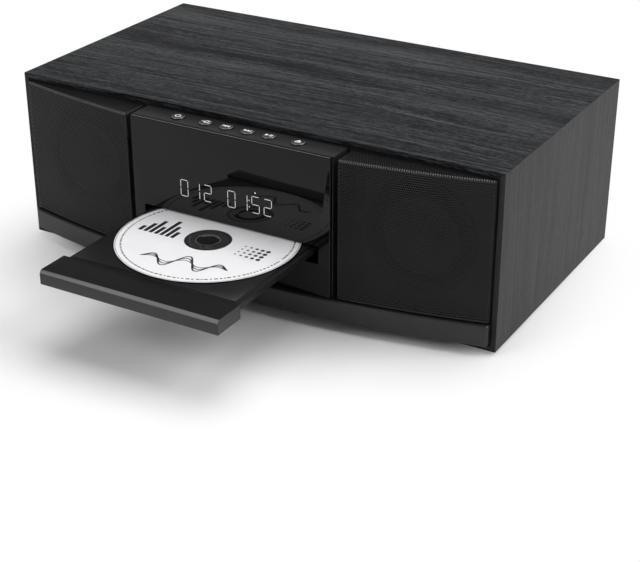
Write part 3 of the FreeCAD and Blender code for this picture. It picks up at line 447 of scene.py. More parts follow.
# Pale finish on the upper fold's bridges: a painted highlight, standing in for the light that the fold
# catches
FOLD_HIGHLIGHT_FINISH = moulded("fold_painted_highlight", grey(0.09), grey(0.12), (0.24, 0.32), 0.3, 0.1)
KEY_FINISH = moulded("key_plastic", grey(0.010), grey(0.015), (0.22, 0.32), 0.5, 0.12)
# Pale satin on the key rims and round the disc's hole: a painted highlight of those edges
RIM_HIGHLIGHT_FINISH = moulded("painted_rim_highlight", grey(0.13), grey(0.17), (0.20, 0.28), 0.5, 0.05)
LABEL_FINISH = moulded("label_white", grey(0.86), grey(0.89), (0.30, 0.40), 0.3, 0.05, Coat_Weight=0.2)
INK_FINISH = moulded("label_ink", grey(0.010), grey(0.016), (0.35, 0.45), 0.3, 0.05)
MIRROR_FINISH = brushed("disc_mirror", grey(0.66), grey(0.74), "z", (0.10, 0.16))
SYMBOL_FINISH = moulded("symbol_white", grey(0.86), grey(0.90), (0.40, 0.50), 0.3, 0.05)
# Pale strip on the fascia's upper edge: a painted highlight
EDGE_HIGHLIGHT_FINISH = moulded("edge_painted_highlight", grey(0.10), grey(0.13), (0.30, 0.40), 0.5, 0.05)
DIGIT_FINISH = lit("digit_light", (0.90, 0.92, 0.94), 0.75)


# Mesh helpers

def shade(mesh, angle=SHARP_SHADING):
    mesh.shade_smooth()
    mesh.set_sharp_from_angle(angle=math.radians(angle))


def add_piece(name, verts, faces, finish, body, slot, stands_for=(), closed=True):
    """A new mesh piece, given in millimetres, that rides on a body."""
    mesh = bpy.data.meshes.new(name)
    mesh.from_pydata((np.asarray(verts, float) * MM).tolist(), [], faces)
    shape = bmesh.new()
    shape.from_mesh(mesh)
    bmesh.ops.remove_doubles(shape, verts=shape.verts, dist=1e-6)
    if closed:
        bmesh.ops.recalc_face_normals(shape, faces=shape.faces)
    shape.to_mesh(mesh)
    shape.free()
    shade(mesh)
    mesh.materials.append(finish)
    made = bpy.data.objects.new(name, mesh)
    bpy.context.scene.collection.objects.link(made)
    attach(made, body)
    if stands_for:
        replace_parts(made, *stands_for)
    return made


def joined(parts):
    """One list of verts and faces from several."""
    verts, faces = [], []
    for part_verts, part_faces in parts:
        start = len(verts)
        verts.extend(part_verts)
        faces.extend([[i + start for i in face] for face in part_faces])
    return verts, faces


def dressed(node, finish, edge=0.3, steps=2):
    """A copy of a node's own mesh with softened edges, which stands for the node."""
    mesh = frame["nodes"][node].data.copy()
    mesh.name = node + "_dressed"
    shape = bmesh.new()
    shape.from_mesh(mesh)
    bmesh.ops.remove_doubles(shape, verts=shape.verts, dist=2e-6)
    bmesh.ops.dissolve_limit(
        shape, angle_limit=math.radians(0.6), verts=shape.verts, edges=shape.edges
    )
    sharp = [
        e for e in shape.edges
        if len(e.link_faces) == 2
        and e.calc_face_angle() > math.radians(EASED_EDGE)
        and e.calc_length() > 4 * edge * MM
    ]
    bmesh.ops.bevel(
        shape, geom=sharp, offset=edge * MM, segments=steps, profile=0.5, affect="EDGES",
        clamp_overlap=True,
    )
    shape.to_mesh(mesh)
    shape.free()
    mesh.materials.clear()
    mesh.materials.append(finish)
    shade(mesh, SHARP_NEAR_EASED)
    made = bpy.data.objects.new(node + "_dressed", mesh)
    bpy.context.scene.collection.objects.link(made)
    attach(made, NODE_BODY[node])
    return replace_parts(made, node)


def softened(points, radius, steps=4, closed=False):
    """A line of points with each corner eased into a short curve."""
    count = len(points)
    made = []
    for i, point in enumerate(points):
        if not closed and i in (0, count - 1):
            made.append(tuple(point))
            continue
        corner = np.array(point, float)
        ends = []
        for other in (points[i - 1], points[(i + 1) % count]):
            way = np.array(other, float) - corner
            length = np.linalg.norm(way)
            ends.append(corner + way / length * min(radius, 0.45 * length))
        for k in range(steps + 1):
            t = k / steps
            made.append(tuple((1 - t) ** 2 * ends[0] + 2 * t * (1 - t) * corner + t * t * ends[1]))
    return made


def lathe(profile, centre, axis, closed=False, sides=ROUND):
    """Verts and faces of (radius, height) points turned about an axis through centre."""
    verts, faces = [], []
    for radius, height in profile:
        for k in range(sides):
            turn = 2 * math.pi * k / sides
            u, v = radius * math.cos(turn), radius * math.sin(turn)
            offset = (u, v, height) if axis == "z" else (u, height, v)
            verts.append(tuple(c + o for c, o in zip(centre, offset)))
    rings = len(profile)
    for i in range(rings if closed else rings - 1):
        low, high = i * sides, (i + 1) % rings * sides
        for k in range(sides):
            after = (k + 1) % sides
            faces.append([low + k, low + after, high + after, high + k])
    return verts, faces


def plate(loop, place):
    """A thin flat plate with the given outline; place(u, v, lifted) gives its points."""
    count = len(loop)
    verts = [place(u, v, False) for u, v in loop] + [place(u, v, True) for u, v in loop]
    faces = [list(range(count, 2 * count)), list(range(count - 1, -1, -1))]
    for i in range(count):
        after = (i + 1) % count
        faces.append([i, after, count + after, count + i])
    return verts, faces


def band(radius, width, start, end, step=4.0):
    """Pieces of a ring between two angles in degrees, as short four-cornered loops."""
    steps = max(1, round(abs(end - start) / step))
    turns = [math.radians(start + (end - start) * i / steps) for i in range(steps + 1)]
    loops = []
    for a, b in zip(turns, turns[1:]):
        inner, outer = radius - width / 2, radius + width / 2
        loops.append([
            (inner * math.cos(a), inner * math.sin(a)),
            (outer * math.cos(a), outer * math.sin(a)),
            (outer * math.cos(b), outer * math.sin(b)),
            (inner * math.cos(b), inner * math.sin(b)),
        ])
    return loops


def oblong(x0, y0, x1, y1):
    return [(x0, y0), (x1, y0), (x1, y1), (x0, y1)]


def spot(x, y, radius, sides=20):
    turns = [2 * math.pi * k / sides for k in range(sides)]
    return [(x + radius * math.cos(t), y + radius * math.sin(t)) for t in turns]


# Cabinet

def cabinet():
    for node in ("cabinet_top", "cabinet_bottom"):
        dressed(node, WOOD_LONG)
    for node in ("cabinet_left", "cabinet_right"):
        dressed(node, WOOD_UPRIGHT_PAINTED_LIGHT)


def feet():
    """Moulded feet with an eased rim and a shallow dish underneath."""
    low, high = box_of("feet")
    radius, dish, rise = FOOT_RADIUS, FOOT_DISH, FOOT_DISH_RISE
    profile = [
        (0, rise), (dish, rise), (dish + FOOT_DISH_SLOPE, 0.0), (radius - 0.6, 0.0),
        (radius, high.z - 1.0), (radius, high.z), (0, high.z),
    ]
    profile = softened(profile, FOOT_EASE)
    parts = []
    for x in (low.x + radius, high.x - radius):
        for y in (low.y + radius, high.y - radius):
            parts.append(lathe(profile, (x, y, 0), "z", sides=SMALL_ROUND))
    add_piece("feet_moulded", *joined(parts), FINISHES["rubber"], "cabinet", "rubber", ["feet"])


# Grilles

class Lattice:
    """Staggered holes over a rectangle: even points are holes and odd ones are cell corners."""

    def __init__(self, width, height):
        self.columns = 2 * round(width / HOLE_PITCH)
        self.rows = 2 * round(height / HOLE_PITCH / 2)
        self.step_u = width / self.columns
        self.step_v = height / self.rows

    def border(self):
        """Plain triangles between the outer holes and the edges."""
        made = []
        last_i, last_j = self.columns, self.rows
        for i in range(0, last_i + 1, 2):
            before, after = max(i - 1, 0), min(i + 1, last_i)
            made.append([(before, 0), (after, 0), (i, 1)])
            made.append([(after, last_j), (before, last_j), (i, last_j - 1)])
        for j in range(2, last_j, 2):
            made.append([(0, j + 1), (0, j - 1), (1, j)])
            made.append([(last_i, j - 1), (last_i, j + 1), (last_i - 1, j)])
        return made


def perforated(lattice, place, columns, state):
    """Verts and faces of a stretch of sheet with round holes.

    place(u, v, inward) gives a point of the sheet, and state(u, v) says whether the cell
    there is a hole, plain or none."""
    verts, faces, known = [], [], {}

    def corner(i, j):
        if (i, j) not in known:
            known[i, j] = len(verts)
            verts.append(place(i * lattice.step_u, j * lattice.step_v, 0.0))
        return known[i, j]

    rim = spot(0.0, 0.0, HOLE_RADIUS, HOLE_SIDES)
    quarter = HOLE_SIDES // 4
    for j in range(1, lattice.rows):
        for i in range(columns[0] + (columns[0] + j) % 2, columns[1], 2):
            u, v = i * lattice.step_u, j * lattice.step_v
            kind = state(u, v) if 0 < i < lattice.columns else "none"
            if kind == "none":
                continue
            cell = [corner(i + 1, j), corner(i, j + 1), corner(i - 1, j), corner(i, j - 1)]
            if kind == "plain":
                faces.append(cell)
                continue
            start = len(verts)
            for depth in (0.0, HOLE_DEPTH):
                verts.extend(place(u + du, v + dv, depth) for du, dv in rim)
            for k in range(4):
                arc = [start + (k * quarter + n) % HOLE_SIDES for n in range(quarter, -1, -1)]
                faces.append([cell[k], cell[(k + 1) % 4], *arc])
            for k in range(HOLE_SIDES):
                a, b = start + k, start + (k + 1) % HOLE_SIDES
                faces.append([a, b, b + HOLE_SIDES, a + HOLE_SIDES])
    for triangle in lattice.border():
        middle = [sum(axis) / 3 for axis in zip(*triangle)]
        here = state(middle[0] * lattice.step_u, middle[1] * lattice.step_v)
        if columns[0] <= middle[0] < columns[1] and here != "none":
            faces.append([corner(i, j) for i, j in triangle])
    return verts, faces


def strip(lines):
    """Faces between neighbouring lines of points, each as long as the next."""
    verts = [point for line in lines for point in line]
    count = len(lines[0])
    faces = []
    for i in range(len(lines) - 1):
        for k in range(count - 1):
            a = i * count + k
            faces.append([a, a + 1, a + count + 1, a + count])
    return verts, faces


def bend(k):
    """Inset and rise of the k-th line of a fold, from upright to level."""
    turn = math.pi / 2 * k / FOLD_STEPS
    return FOLD_RADIUS * (1 - math.cos(turn)), FOLD_RADIUS * math.sin(turn)


class Grille:
    """Sheet folded back on all four sides, described for the right-hand grille."""

    def __init__(self):
        self.low, self.high = box_of("grille_right")
        self.back = self.high.y
        self.ends = (self.low.x + FOLD_RADIUS, self.high.x - FOLD_RADIUS)
        self.turns = [math.asin(x / BOW_RADIUS) for x in self.ends]
        self.arc = BOW_RADIUS * (self.turns[1] - self.turns[0])
        self.bottom, self.top = self.low.z + FOLD_RADIUS, self.high.z - FOLD_RADIUS

    def on_bow(self, u):
        """Point of the bowed front, in plan, at a distance along it."""
        turn = self.turns[0] + u / BOW_RADIUS
        return BOW_RADIUS * math.sin(turn), BOW_FRONT + BOW_RADIUS * (1 - math.cos(turn))

    def on_face(self, u, v, inward):
        x, y = self.on_bow(u)
        return x, y + inward, self.bottom + v

    def on_top(self, u, v, inward):
        """Point of the return that runs back above the face."""
        x, y = self.on_bow(u)
        return x, min(y + FOLD_RADIUS + v, self.back), self.high.z - inward

    def on_inner(self, u, v, inward):
        """Point of the return that faces the console."""
        return self.low.x + inward, self.back - u, self.bottom + v

    def path(self, end):
        """Points and outward ways in plan, round a front corner and back to the baffle."""
        x0, y0 = self.on_bow(self.arc * end)
        way = 2 * end - 1
        made = []
        for k in range(FOLD_STEPS + 1):
            inset, reach = bend(k)
            outward = (way * reach / FOLD_RADIUS, inset / FOLD_RADIUS - 1)
            made.append((x0 + way * reach, y0 + inset, *outward))
        made.append((x0 + way * FOLD_RADIUS, self.back, way, 0.0))
        return made

    def rolled(self, path):
        """Rounded upper edge along a path in plan."""
        lines = []
        for k in range(FOLD_STEPS + 1):
            inset, rise = bend(k)
            lines.append([(x - nx * inset, y - ny * inset, self.top + rise) for x, y, nx, ny in path])
        return strip(lines)

    def upright(self, path, bottom, top):
        return strip([[(x, y, z) for z in (bottom, top)] for x, y, *_ in path])

    def side_bridges(self, path, count):
        """Short bent bridges between the holes that cross an upright fold."""
        pitch = (self.top - self.bottom) / count
        parts = []
        for n in range(count):
            middle = self.bottom + (n + 0.5) * pitch
            parts.append(self.upright(path, middle - BRIDGE_WIDTH / 2, middle + BRIDGE_WIDTH / 2))
        return joined(parts)

    def bridges(self, count):
        """Short bent bridges between the holes that cross the upper fold."""
        pitch = self.arc / count
        parts = []
        for n in range(count):
            middle = (n + 0.5) * pitch
            front = [self.on_bow(middle + way * BRIDGE_WIDTH / 2) for way in (-1, 1)]
            lines = []
            for k in range(FOLD_STEPS + 1):
                inset, rise = bend(k)
                lines.append([(x, y + inset, self.top + rise) for x, y in front])
            parts.append(strip(lines))
        return joined(parts)

    def underside(self):
        """Plain lower return and the fold up to the face."""
        front = [self.on_bow(u) for u in np.linspace(0.0, self.arc, BOW_STEPS)]
        lines = [[(x, self.back, self.low.z) for x, y in front]]
        for k in range(FOLD_STEPS, -1, -1):
            inset, rise = bend(k)
            lines.append([(x, y + inset, self.bottom - rise) for x, y in front])
        return strip(lines)


def grille(side):
    """Perforated sheet: face, top and inner return pierced, the other returns plain."""
    sheet = Grille()
    flip = side == "left"
    name = "grille_" + side

    def add(piece, parts, stands_for=(), finish=FINISHES["grille"]):
        verts, faces = joined(parts)
        if flip:
            verts = [(-x, y, z) for x, y, z in verts]
            faces = [face[::-1] for face in faces]
        add_piece(piece, verts, faces, finish, "cabinet", "grille", stands_for, closed=False)

    face = Lattice(sheet.arc, sheet.top - sheet.bottom)
    corner_y = sheet.on_bow(0.0)[1] + FOLD_RADIUS
    roof = Lattice(sheet.arc, sheet.back - corner_y)
    inner = Lattice(sheet.back - corner_y, sheet.top - sheet.bottom)

    def whole(u, v):
        return "hole"

    def in_front_of_baffle(u, v):
        room = sheet.back - sheet.on_bow(u)[1] - FOLD_RADIUS - v
        if room < -roof.step_v:
            return "none"
        return "hole" if room > roof.step_v else "plain"

    middle = face.columns // 2
    for half, columns in {"inner": (0, middle), "outer": (middle, face.columns + 1)}.items():
        add(f"{name}_{half}_face", [perforated(face, sheet.on_face, columns, whole)], [name])
    inner_path, outer_path = sheet.path(0), sheet.path(1)
    # The upper fold's bridges carry the pale painted highlight
    add(name + "_fold", [sheet.bridges(middle)], finish=FOLD_HIGHLIGHT_FINISH)
    add(name + "_returns", [
        perforated(roof, sheet.on_top, (0, roof.columns + 1), in_front_of_baffle),
        perforated(inner, sheet.on_inner, (0, inner.columns + 1), whole),
        sheet.side_bridges(inner_path[:-1], face.rows),
        sheet.side_bridges(outer_path[-2::-1], face.rows),
        sheet.upright(outer_path[:-3:-1], sheet.bottom, sheet.top),
        sheet.rolled(inner_path[::-1]),
        sheet.rolled(outer_path),
        sheet.underside(),
    ])


# Console, keys and display

def console():
    dressed("console_shell", FINISHES["trim"])
    dressed("fascia_panel", FINISHES["fascia"], 0.22)
    dressed("base_skirt", FINISHES["trim"])
    low, high = box_of("fascia_panel")
    # A pale strip on the fascia's upper edge: painted highlight
    near, far = HIGHLIGHT_STRIP_REACH
    edge = oblong(low.x + HIGHLIGHT_STRIP_END, low.y + near, high.x - HIGHLIGHT_STRIP_END, low.y + far)

    def on_edge(u, v, lifted):
        return u, v, high.z + (PRINT if lifted else -PRINT)

    add_piece("fascia_edge_highlight", *plate(edge, on_edge), EDGE_HIGHLIGHT_FINISH, "cabinet", "fascia")


def arrow(x, width, height, way):
    """Solid triangle that points left, right or up."""
    if way == "up":
        return [(x - width / 2, 0), (x + width / 2, 0), (x, height)]
    tip = width / 2 if way == "right" else -width / 2
    return [(x - tip, -height / 2), (x + tip, 0), (x - tip, height / 2)]


def power_symbol():
    return band(1.45, 0.5, 125, 415, 12) + [oblong(-0.25, 0.35, 0.25, 2.0)]


def source_symbol():
    frame_lines = [
        oblong(-0.3, 1.05, 2.0, 1.5), oblong(-0.3, -1.5, 2.0, -1.05), oblong(1.55, -1.05, 2.0, 1.05),
    ]
    return frame_lines + [oblong(-2.1, -0.25, -0.4, 0.25), arrow(0.1, 1.1, 1.7, "right")]


def previous_symbol():
    return [oblong(-2.1, -1.1, -1.7, 1.1), arrow(-0.75, 1.7, 2.2, "left"), arrow(1.05, 1.7, 2.2, "left")]


def next_symbol():
    return [oblong(1.7, -1.1, 2.1, 1.1), arrow(0.75, 1.7, 2.2, "right"), arrow(-1.05, 1.7, 2.2, "right")]


def play_symbol():
    bars = [oblong(0.55, -1.15, 1.05, 1.15), oblong(1.5, -1.15, 2.0, 1.15)]
    return [arrow(-1.0, 2.0, 2.4, "right")] + bars


def eject_symbol():
    return [arrow(0.0, 3.2, 1.8, "up"), oblong(-1.6, -1.2, 1.6, -0.6)]


def key_cap(x, y, low_z, high_z, ledge_z):
    """Dished cap with an eased rim, its two ears and its square stem."""
    ear_top = ledge_z - KEY_EAR_TOP
    under = ear_top - KEY_EAR
    inset, drop = KEY_CHAMFER
    rim = [(KEY_RADIUS, under), (KEY_RADIUS, high_z - drop), (KEY_RADIUS - inset, high_z)]
    dish = [(KEY_RADIUS * 0.45, high_z - KEY_DISH), (0, high_z - KEY_DISH)]
    profile = [(0, under), *softened(rim + dish, 0.12, 3)]
    parts = [lathe(profile, (x, y, 0), "z", sides=SMALL_ROUND)]
    half = KEY_STEM_HALF
    reach = KEY_RADIUS + KEY_EAR
    boxes = [
        (oblong(-reach, -half, -KEY_RADIUS + 0.3, half), under, ear_top),
        (oblong(KEY_RADIUS - 0.3, -half, reach, half), under, ear_top),
        (oblong(-half, -half, half, half), low_z, under + 0.1),
    ]
    for loop, bottom, top in boxes:
        parts.append(plate(loop, lambda u, v, lifted: (x + u, y + v, top if lifted else bottom)))
    return joined(parts)


def painted_rim_highlight(x, y, high_z):
    """Pale band on the chamfer of a key: a painted highlight where the rim catches the light."""
    inset, drop = KEY_CHAMFER
    slope = math.hypot(inset, drop)
    out, up = PRINT * drop / slope, PRINT * inset / slope
    ends = [(KEY_RADIUS - inset * share, high_z - drop * (1 - share)) for share in (0.15, 0.85)]
    section = [(r + way * out, z + way * up) for (r, z), way in zip(ends + ends[::-1], (-1, -1, 1, 1))]
    return lathe(section, (x, y, 0), "z", True, SMALL_ROUND)


def keys():
    """Round keys, each with a pale band painted on its chamfer as a highlight, and its printed symbol.
    """
    symbols = {
        "power_key": power_symbol, "source_key": source_symbol, "previous_key": previous_symbol,
        "next_key": next_symbol, "play_key": play_symbol, "eject_key": eject_symbol,
    }
    ledge_z = box_of("console_shell")[1].z
    for node, symbol in symbols.items():
        low, high = box_of(node)
        middle = (low + high) / 2
        cap = key_cap(middle.x, middle.y, low.z, high.z, ledge_z)
        add_piece(node + "_cap", *cap, KEY_FINISH, node, "trim", [node])
        # Pale band on the chamfer: a painted highlight
        rim = painted_rim_highlight(middle.x, middle.y, high.z)
        add_piece(node + "_rim", *rim, RIM_HIGHLIGHT_FINISH, node, "trim")

        def on_key(u, v, lifted, x=middle.x, y=middle.y, z=high.z - KEY_DISH):
            z += 2 * PRINT if lifted else -PRINT
            return x + SYMBOL_SCALE * u, y + SYMBOL_SCALE * v, z

        add_piece(
            node + "_symbol", *joined(plate(loop, on_key) for loop in symbol()),
            SYMBOL_FINISH, node, "trim",
        )


def digit_loops(figure, x):
    """Seven-bar figure as short bars, its lower left corner at x."""
    w, h, t, g = DIGIT_WIDTH, DIGIT_HEIGHT, DIGIT_STROKE / 2, DIGIT_GAP
    lines = {
        "a": oblong(g, h - t, w - g, h + t),
        "b": oblong(w - t, h / 2 + g, w + t, h - g),
        "c": oblong(w - t, g, w + t, h / 2 - g),
        "d": oblong(g, -t, w - g, t),
        "e": oblong(-t, g, t, h / 2 - g),
        "f": oblong(-t, h / 2 + g, t, h - g),
        "g": oblong(g, h / 2 - t, w - g, h / 2 + t),
    }
    return [[(x + u, v) for u, v in lines[s]] for s in SEGMENTS[figure]]


def display():
    """Figures that shine through the fascia."""
    face = box_of("fascia_panel")[0].y
    loops = []
    for place, figure in DIGITS:
        loops += digit_loops(figure, DIGIT_START + place * DIGIT_PITCH)
    x = DIGIT_START + COLON_PLACE
    for v in COLON_HEIGHTS:
        loops.append(oblong(x - COLON_HALF, v - COLON_HALF, x + COLON_HALF, v + COLON_HALF))
    x = DIGIT_START + POINTER_PLACE * DIGIT_PITCH + DIGIT_WIDTH / 2
    pointer = arrow(0.0, *POINTER_SIZE, "right")
    loops.append([(x + u, DIGIT_HEIGHT + POINTER_RISE + v) for u, v in pointer])

    def on_fascia(u, v, lifted):
        return u, face + (-PRINT if lifted else PRINT), DIGIT_BASE + v

    add_piece(
        "display_figures", *joined(plate(loop, on_fascia) for loop in loops),
        DIGIT_FINISH, "cabinet", "display",
    )


# Tray and disc

def tray():
    dressed("disc_tray", FINISHES["tray"], 0.25)
    dressed("tray_front", BAR_FINISH, 0.15)


def ribbon(points, width):
    """A line of points as short four-cornered loops of one width."""
    line = np.array(points, float)
    along = np.gradient(line, axis=0)
    along /= np.linalg.norm(along, axis=1)[:, None]
    side = np.stack([-along[:, 1], along[:, 0]], axis=1) * width / 2
    left, right = line + side, line - side
    return [
        [tuple(p) for p in (left[k], right[k], right[k + 1], left[k + 1])] for k in range(len(line) - 1)
    ]


def wave(start, length, height, turns, turn_degrees):
    """Points of a level wave, swung about the disc's middle."""
    swing = math.radians(turn_degrees)
    made = []
    cos, sin = math.cos(swing), math.sin(swing)
    for t in np.linspace(0.0, 1.0, WAVE_POINTS):
        u = start[0] + length * t
        v = start[1] + height * math.sin(2 * math.pi * turns * t) * math.sin(math.pi * t) ** 0.5
        made.append((u * cos - v * sin, u * sin + v * cos))
    return made


def rim_dashes():
    """Dashes of uneven length round the rim."""
    rng = random.Random(7)
    loops = []
    angle = 0.0
    while angle < 356.0:
        length = rng.uniform(0.8, 2.6)
        loops += band(DASH_RADIUS, DASH_WIDTH, angle, angle + length, 3.0)
        angle += length + rng.uniform(0.7, 1.6)
    return loops


def label_loops():
    """Plain printed design: dashed rim, level bars, waves, a field of dots and short lines."""
    loops = rim_dashes()
    x, y = BAR_CORNER
    for k, level in enumerate(BAR_LEVELS):
        loops.append(oblong(x + BAR_PITCH * k, y, x + BAR_PITCH * k + BAR_WIDTH, y + level))
    for k, height in enumerate(WAVE_HEIGHTS):
        loops += ribbon(wave((-30.0, -35.0), 60.0, height, 2.5, 8.0), 1.1 - 0.2 * k)
    x, y = DOT_CORNER
    for row in range(4):
        for column in range(5):
            loops.append(spot(x + DOT_PITCH * column, y - DOT_PITCH * row, 0.7 + 0.22 * column))
    x, y = LINE_CORNER
    for k in range(4):
        v = y + LINE_PITCH * k
        loops.append(oblong(x, v, -x - 4.0 * (k % 3), v + LINE_WIDTH))
    return loops


def disc():
    """Clear plastic disc with a printed face and a bright underside."""
    low, high = box_of("disc")
    middle = (low + high) / 2
    place = (middle.x, middle.y, 0)
    groove_half, groove_depth = HUB_GROOVE

    def turned(profile):
        return lathe(profile, place, "z", True, DISC_ROUND)

    def flat_ring(inner, outer, bottom, level):
        return turned([(inner, bottom), (inner, level), (outer, level), (outer, bottom)])

    section = [
        (DISC_HOLE, low.z), (HUB_RADIUS - 0.6, low.z), (DISC_RIM, low.z), (DISC_RIM, high.z),
        (HUB_RADIUS + groove_half, high.z), (HUB_RADIUS, high.z - groove_depth),
        (HUB_RADIUS - groove_half, high.z), (DISC_HOLE, high.z),
    ]
    add_piece(
        "disc_plastic", *turned(softened(section, 0.14, 3, True)), FINISHES["disc"], "disc", "disc",
        ["disc"],
    )
    top = high.z + PRINT / 2
    label = flat_ring(LABEL_START, LABEL_RADIUS, high.z - PRINT, top)
    add_piece("disc_label", *label, LABEL_FINISH, "disc", "disc")
    mirror = flat_ring(*MIRROR_BAND, low.z + PRINT, low.z - PRINT / 2)
    add_piece("disc_mirror", *mirror, MIRROR_FINISH, "disc", "disc")

    def on_label(u, v, lifted):
        return middle.x + u, middle.y + v, top + (PRINT / 2 if lifted else -PRINT / 2)

    parts = [plate(loop, on_label) for loop in label_loops()]
    add_piece("disc_print", *joined(parts), INK_FINISH, "disc", "disc")
    rings = {
        "disc_rim_line": (RIM_LINE, RIM_LINE + RING_WIDTH, INK_FINISH),
        "disc_hub_line": (LABEL_START, LABEL_START + RING_WIDTH, INK_FINISH),
        # The pale ring round the hole is a painted highlight of its edge
        "disc_hole_highlight": (*HOLE_HIGHLIGHT, RIM_HIGHLIGHT_FINISH),
    }
    for name, (inner, outer, finish) in rings.items():
        ring = flat_ring(inner, outer, top - PRINT / 2, top + PRINT / 2)
        add_piece(name, *ring, finish, "disc", "disc")


# Speaker drivers

def cone_profile(rim, throat, front, back):
    """Ribbed cone from its rim down to its throat, and the short neck behind."""
    start, foot = rim - CONE_LIP, front + CONE_DEPTH
    profile = [(rim, front + 0.3), (start, front)]
    for k in range(1, CONE_STEPS):
        share = k / CONE_STEPS
        dent = CONE_DENT if k % 3 == 0 else 0.0
        profile.append((start + (throat - start) * share, front + (foot - front) * share + dent))
    profile += [(throat, foot), (throat, back), (throat - 0.7, back)]
    return softened(profile, 0.5, 2)


def dome_profile(radius, front, back):
    """Quarter round from the middle of a dust cap to its edge."""
    turns = [math.pi / 2 * k / DOME_STEPS for k in range(DOME_STEPS + 1)]
    return [(radius * math.sin(t), front + (back - front) * (1 - math.cos(t))) for t in turns]


def roll_profile(inner, outer, front, back):
    """Half roll between two flat lips."""
    middle, half = (inner + outer) / 2, (outer - inner) / 2 - ROLL_LIP
    foot = back - ROLL_FOOT
    profile = [(inner, back)]
    for k in range(ROLL_STEPS + 1):
        turn = math.pi * (1 - k / ROLL_STEPS)
        profile.append((middle + half * math.cos(turn), foot - (foot - front) * math.sin(turn)))
    return profile + [(outer, back)]


def drivers():
    """Smooth cone, roll surround and dust cap in place of the faceted ones."""
    for side in SIDES:
        low, high = box_of("driver_cone_" + side)
        cap_low, cap_high = box_of("driver_cap_" + side)
        roll_low, roll_high = box_of("driver_surround_" + side)
        place = ((low.x + high.x) / 2, 0, (low.z + high.z) / 2)
        body = "cone_" + side
        rim = (high.x - low.x) / 2
        throat = (cap_high.x - cap_low.x) / 2
        outer = (roll_high.x - roll_low.x) / 2
        cone = cone_profile(rim, throat, low.y, high.y)
        dome = dome_profile(throat, cap_low.y, cap_high.y)
        roll = roll_profile(rim - ROLL_LIP, outer, roll_low.y, roll_high.y)
        add_piece(
            f"cone_{side}_pulp", *lathe(cone, place, "y"),
            FINISHES["cone"], body, "cone", ["driver_cone_" + side],
        )
        add_piece(
            f"cap_{side}_dome", *lathe(dome, place, "y"),
            FINISHES["cone"], body, "cone", ["driver_cap_" + side],
        )
        add_piece(
            f"surround_{side}_roll", *lathe(roll, place, "y"),
            ROLL_FINISH, "cabinet", "rubber", ["driver_surround_" + side],
        )


# Rear

def screw(x, y, z):
    """Pan head with a cross recess, facing backwards."""
    radius, height, sides = SCREW_RADIUS, SCREW_HEIGHT, SCREW_ROUND
    arm, half = radius * 0.62, radius * 0.16
    cross = [
        (arm, -half), (arm, half), (half, half), (half, arm), (-half, arm), (-half, half),
        (-arm, half), (-arm, -half), (-half, -half), (-half, -arm), (half, -arm), (half, -half),
    ]
    rings = [(radius, 0.0), (radius, 0.4), (radius * 0.93, 0.75), (radius * 0.8, height)]
    verts, faces = lathe(rings, (x, y, z), "y", sides=sides)
    crown = list(range(len(verts) - sides, len(verts)))
    start, count = len(verts), len(cross)
    for level in (height, height - RECESS_DEPTH):
        verts += [(x + u, y + level, z + v) for u, v in cross]
    for k in range(count):
        after = (k + 1) % count
        faces.append([start + k, start + after, start + count + after, start + count + k])
    faces.append([start + count + k for k in range(count)])
    for k in range(sides):
        near, after = nearest(k / sides, cross), nearest((k + 1) / sides, cross)
        following = crown[(k + 1) % sides]
        faces.append([crown[k], following, start + near])
        if near != after:
            faces.extend(fan(following, start, near, after, count))
    return verts, faces


def nearest(share, loop):
    """Index of the loop's corner that lies nearest to a share of a full turn."""
    turn = 2 * math.pi * share
    reach = [u * math.cos(turn) + v * math.sin(turn) for u, v in loop]
    return int(np.argmax(np.round(reach, 6)))


def fan(tip, start, near, after, count):
    """Triangles from a tip to the corners of a loop between two of them."""
    made = []
    k = near
    while k != after:
        following = (k + 1) % count
        made.append([tip, start + following, start + k])
        k = following
    return made


def rear():
    """Panel with its screws, the jack's bright collar and the cord gland."""
    dressed("rear_panel", FINISHES["panel"], 0.25)
    dressed("cord_gland", FINISHES["component"], 0.25)
    low, high = box_of("rear_panel")
    margin = SCREW_MARGIN
    parts = []
    for z in (low.z + margin, high.z - margin):
        for share in (0.0, 1 / 3, 2 / 3, 1.0):
            x = low.x + margin + (high.x - low.x - 2 * margin) * share
            parts.append(screw(x, high.y, z))
    add_piece("rear_screws", *joined(parts), FINISHES["magnet"], "cabinet", "steel")
    jack_low, jack_high = box_of("aux_jack")
    middle = (jack_low + jack_high) / 2
    bore, shank, end, shoulder = JACK_BORE, JACK_COLLAR, jack_high.y, high.y - 3.9
    collar = [
        (bore, end - 8.0), (bore, end - 0.4), (bore + 0.4, end), (shank - 0.6, end),
        (shank, end - 0.5), (shank, shoulder), (bore, shoulder),
    ]
    turned = lathe(softened(collar, 0.15, 2), (middle.x, 0, middle.z), "y", sides=SMALL_ROUND)
    add_piece("jack_collar", *turned, FINISHES["steel"], "cabinet", "component")


# Every other node keeps its own mesh

def dress_nodes():
    painted = {"front_baffle": BAFFLE_FINISH}
    for side in SIDES:
        painted["driver_basket_" + side] = BASKET_FINISH
    for name, thing in frame["nodes"].items():
        thing.data.materials.clear()
        thing.data.materials.append(painted.get(name) or FINISHES.get(NODE_SLOT[name], WOOD_LONG))
        shade(thing.data)


# Floor, light and camera

def background_share(tree):
    """One for rays that should meet the white background: camera, mirror and glass rays."""
    path = add_node(tree, "ShaderNodeLightPath")
    seen = combine(tree, "MAXIMUM", path.outputs["Is Camera Ray"], path.outputs["Is Glossy Ray"])
    return combine(tree, "MAXIMUM", seen, path.outputs["Is Transmission Ray"])


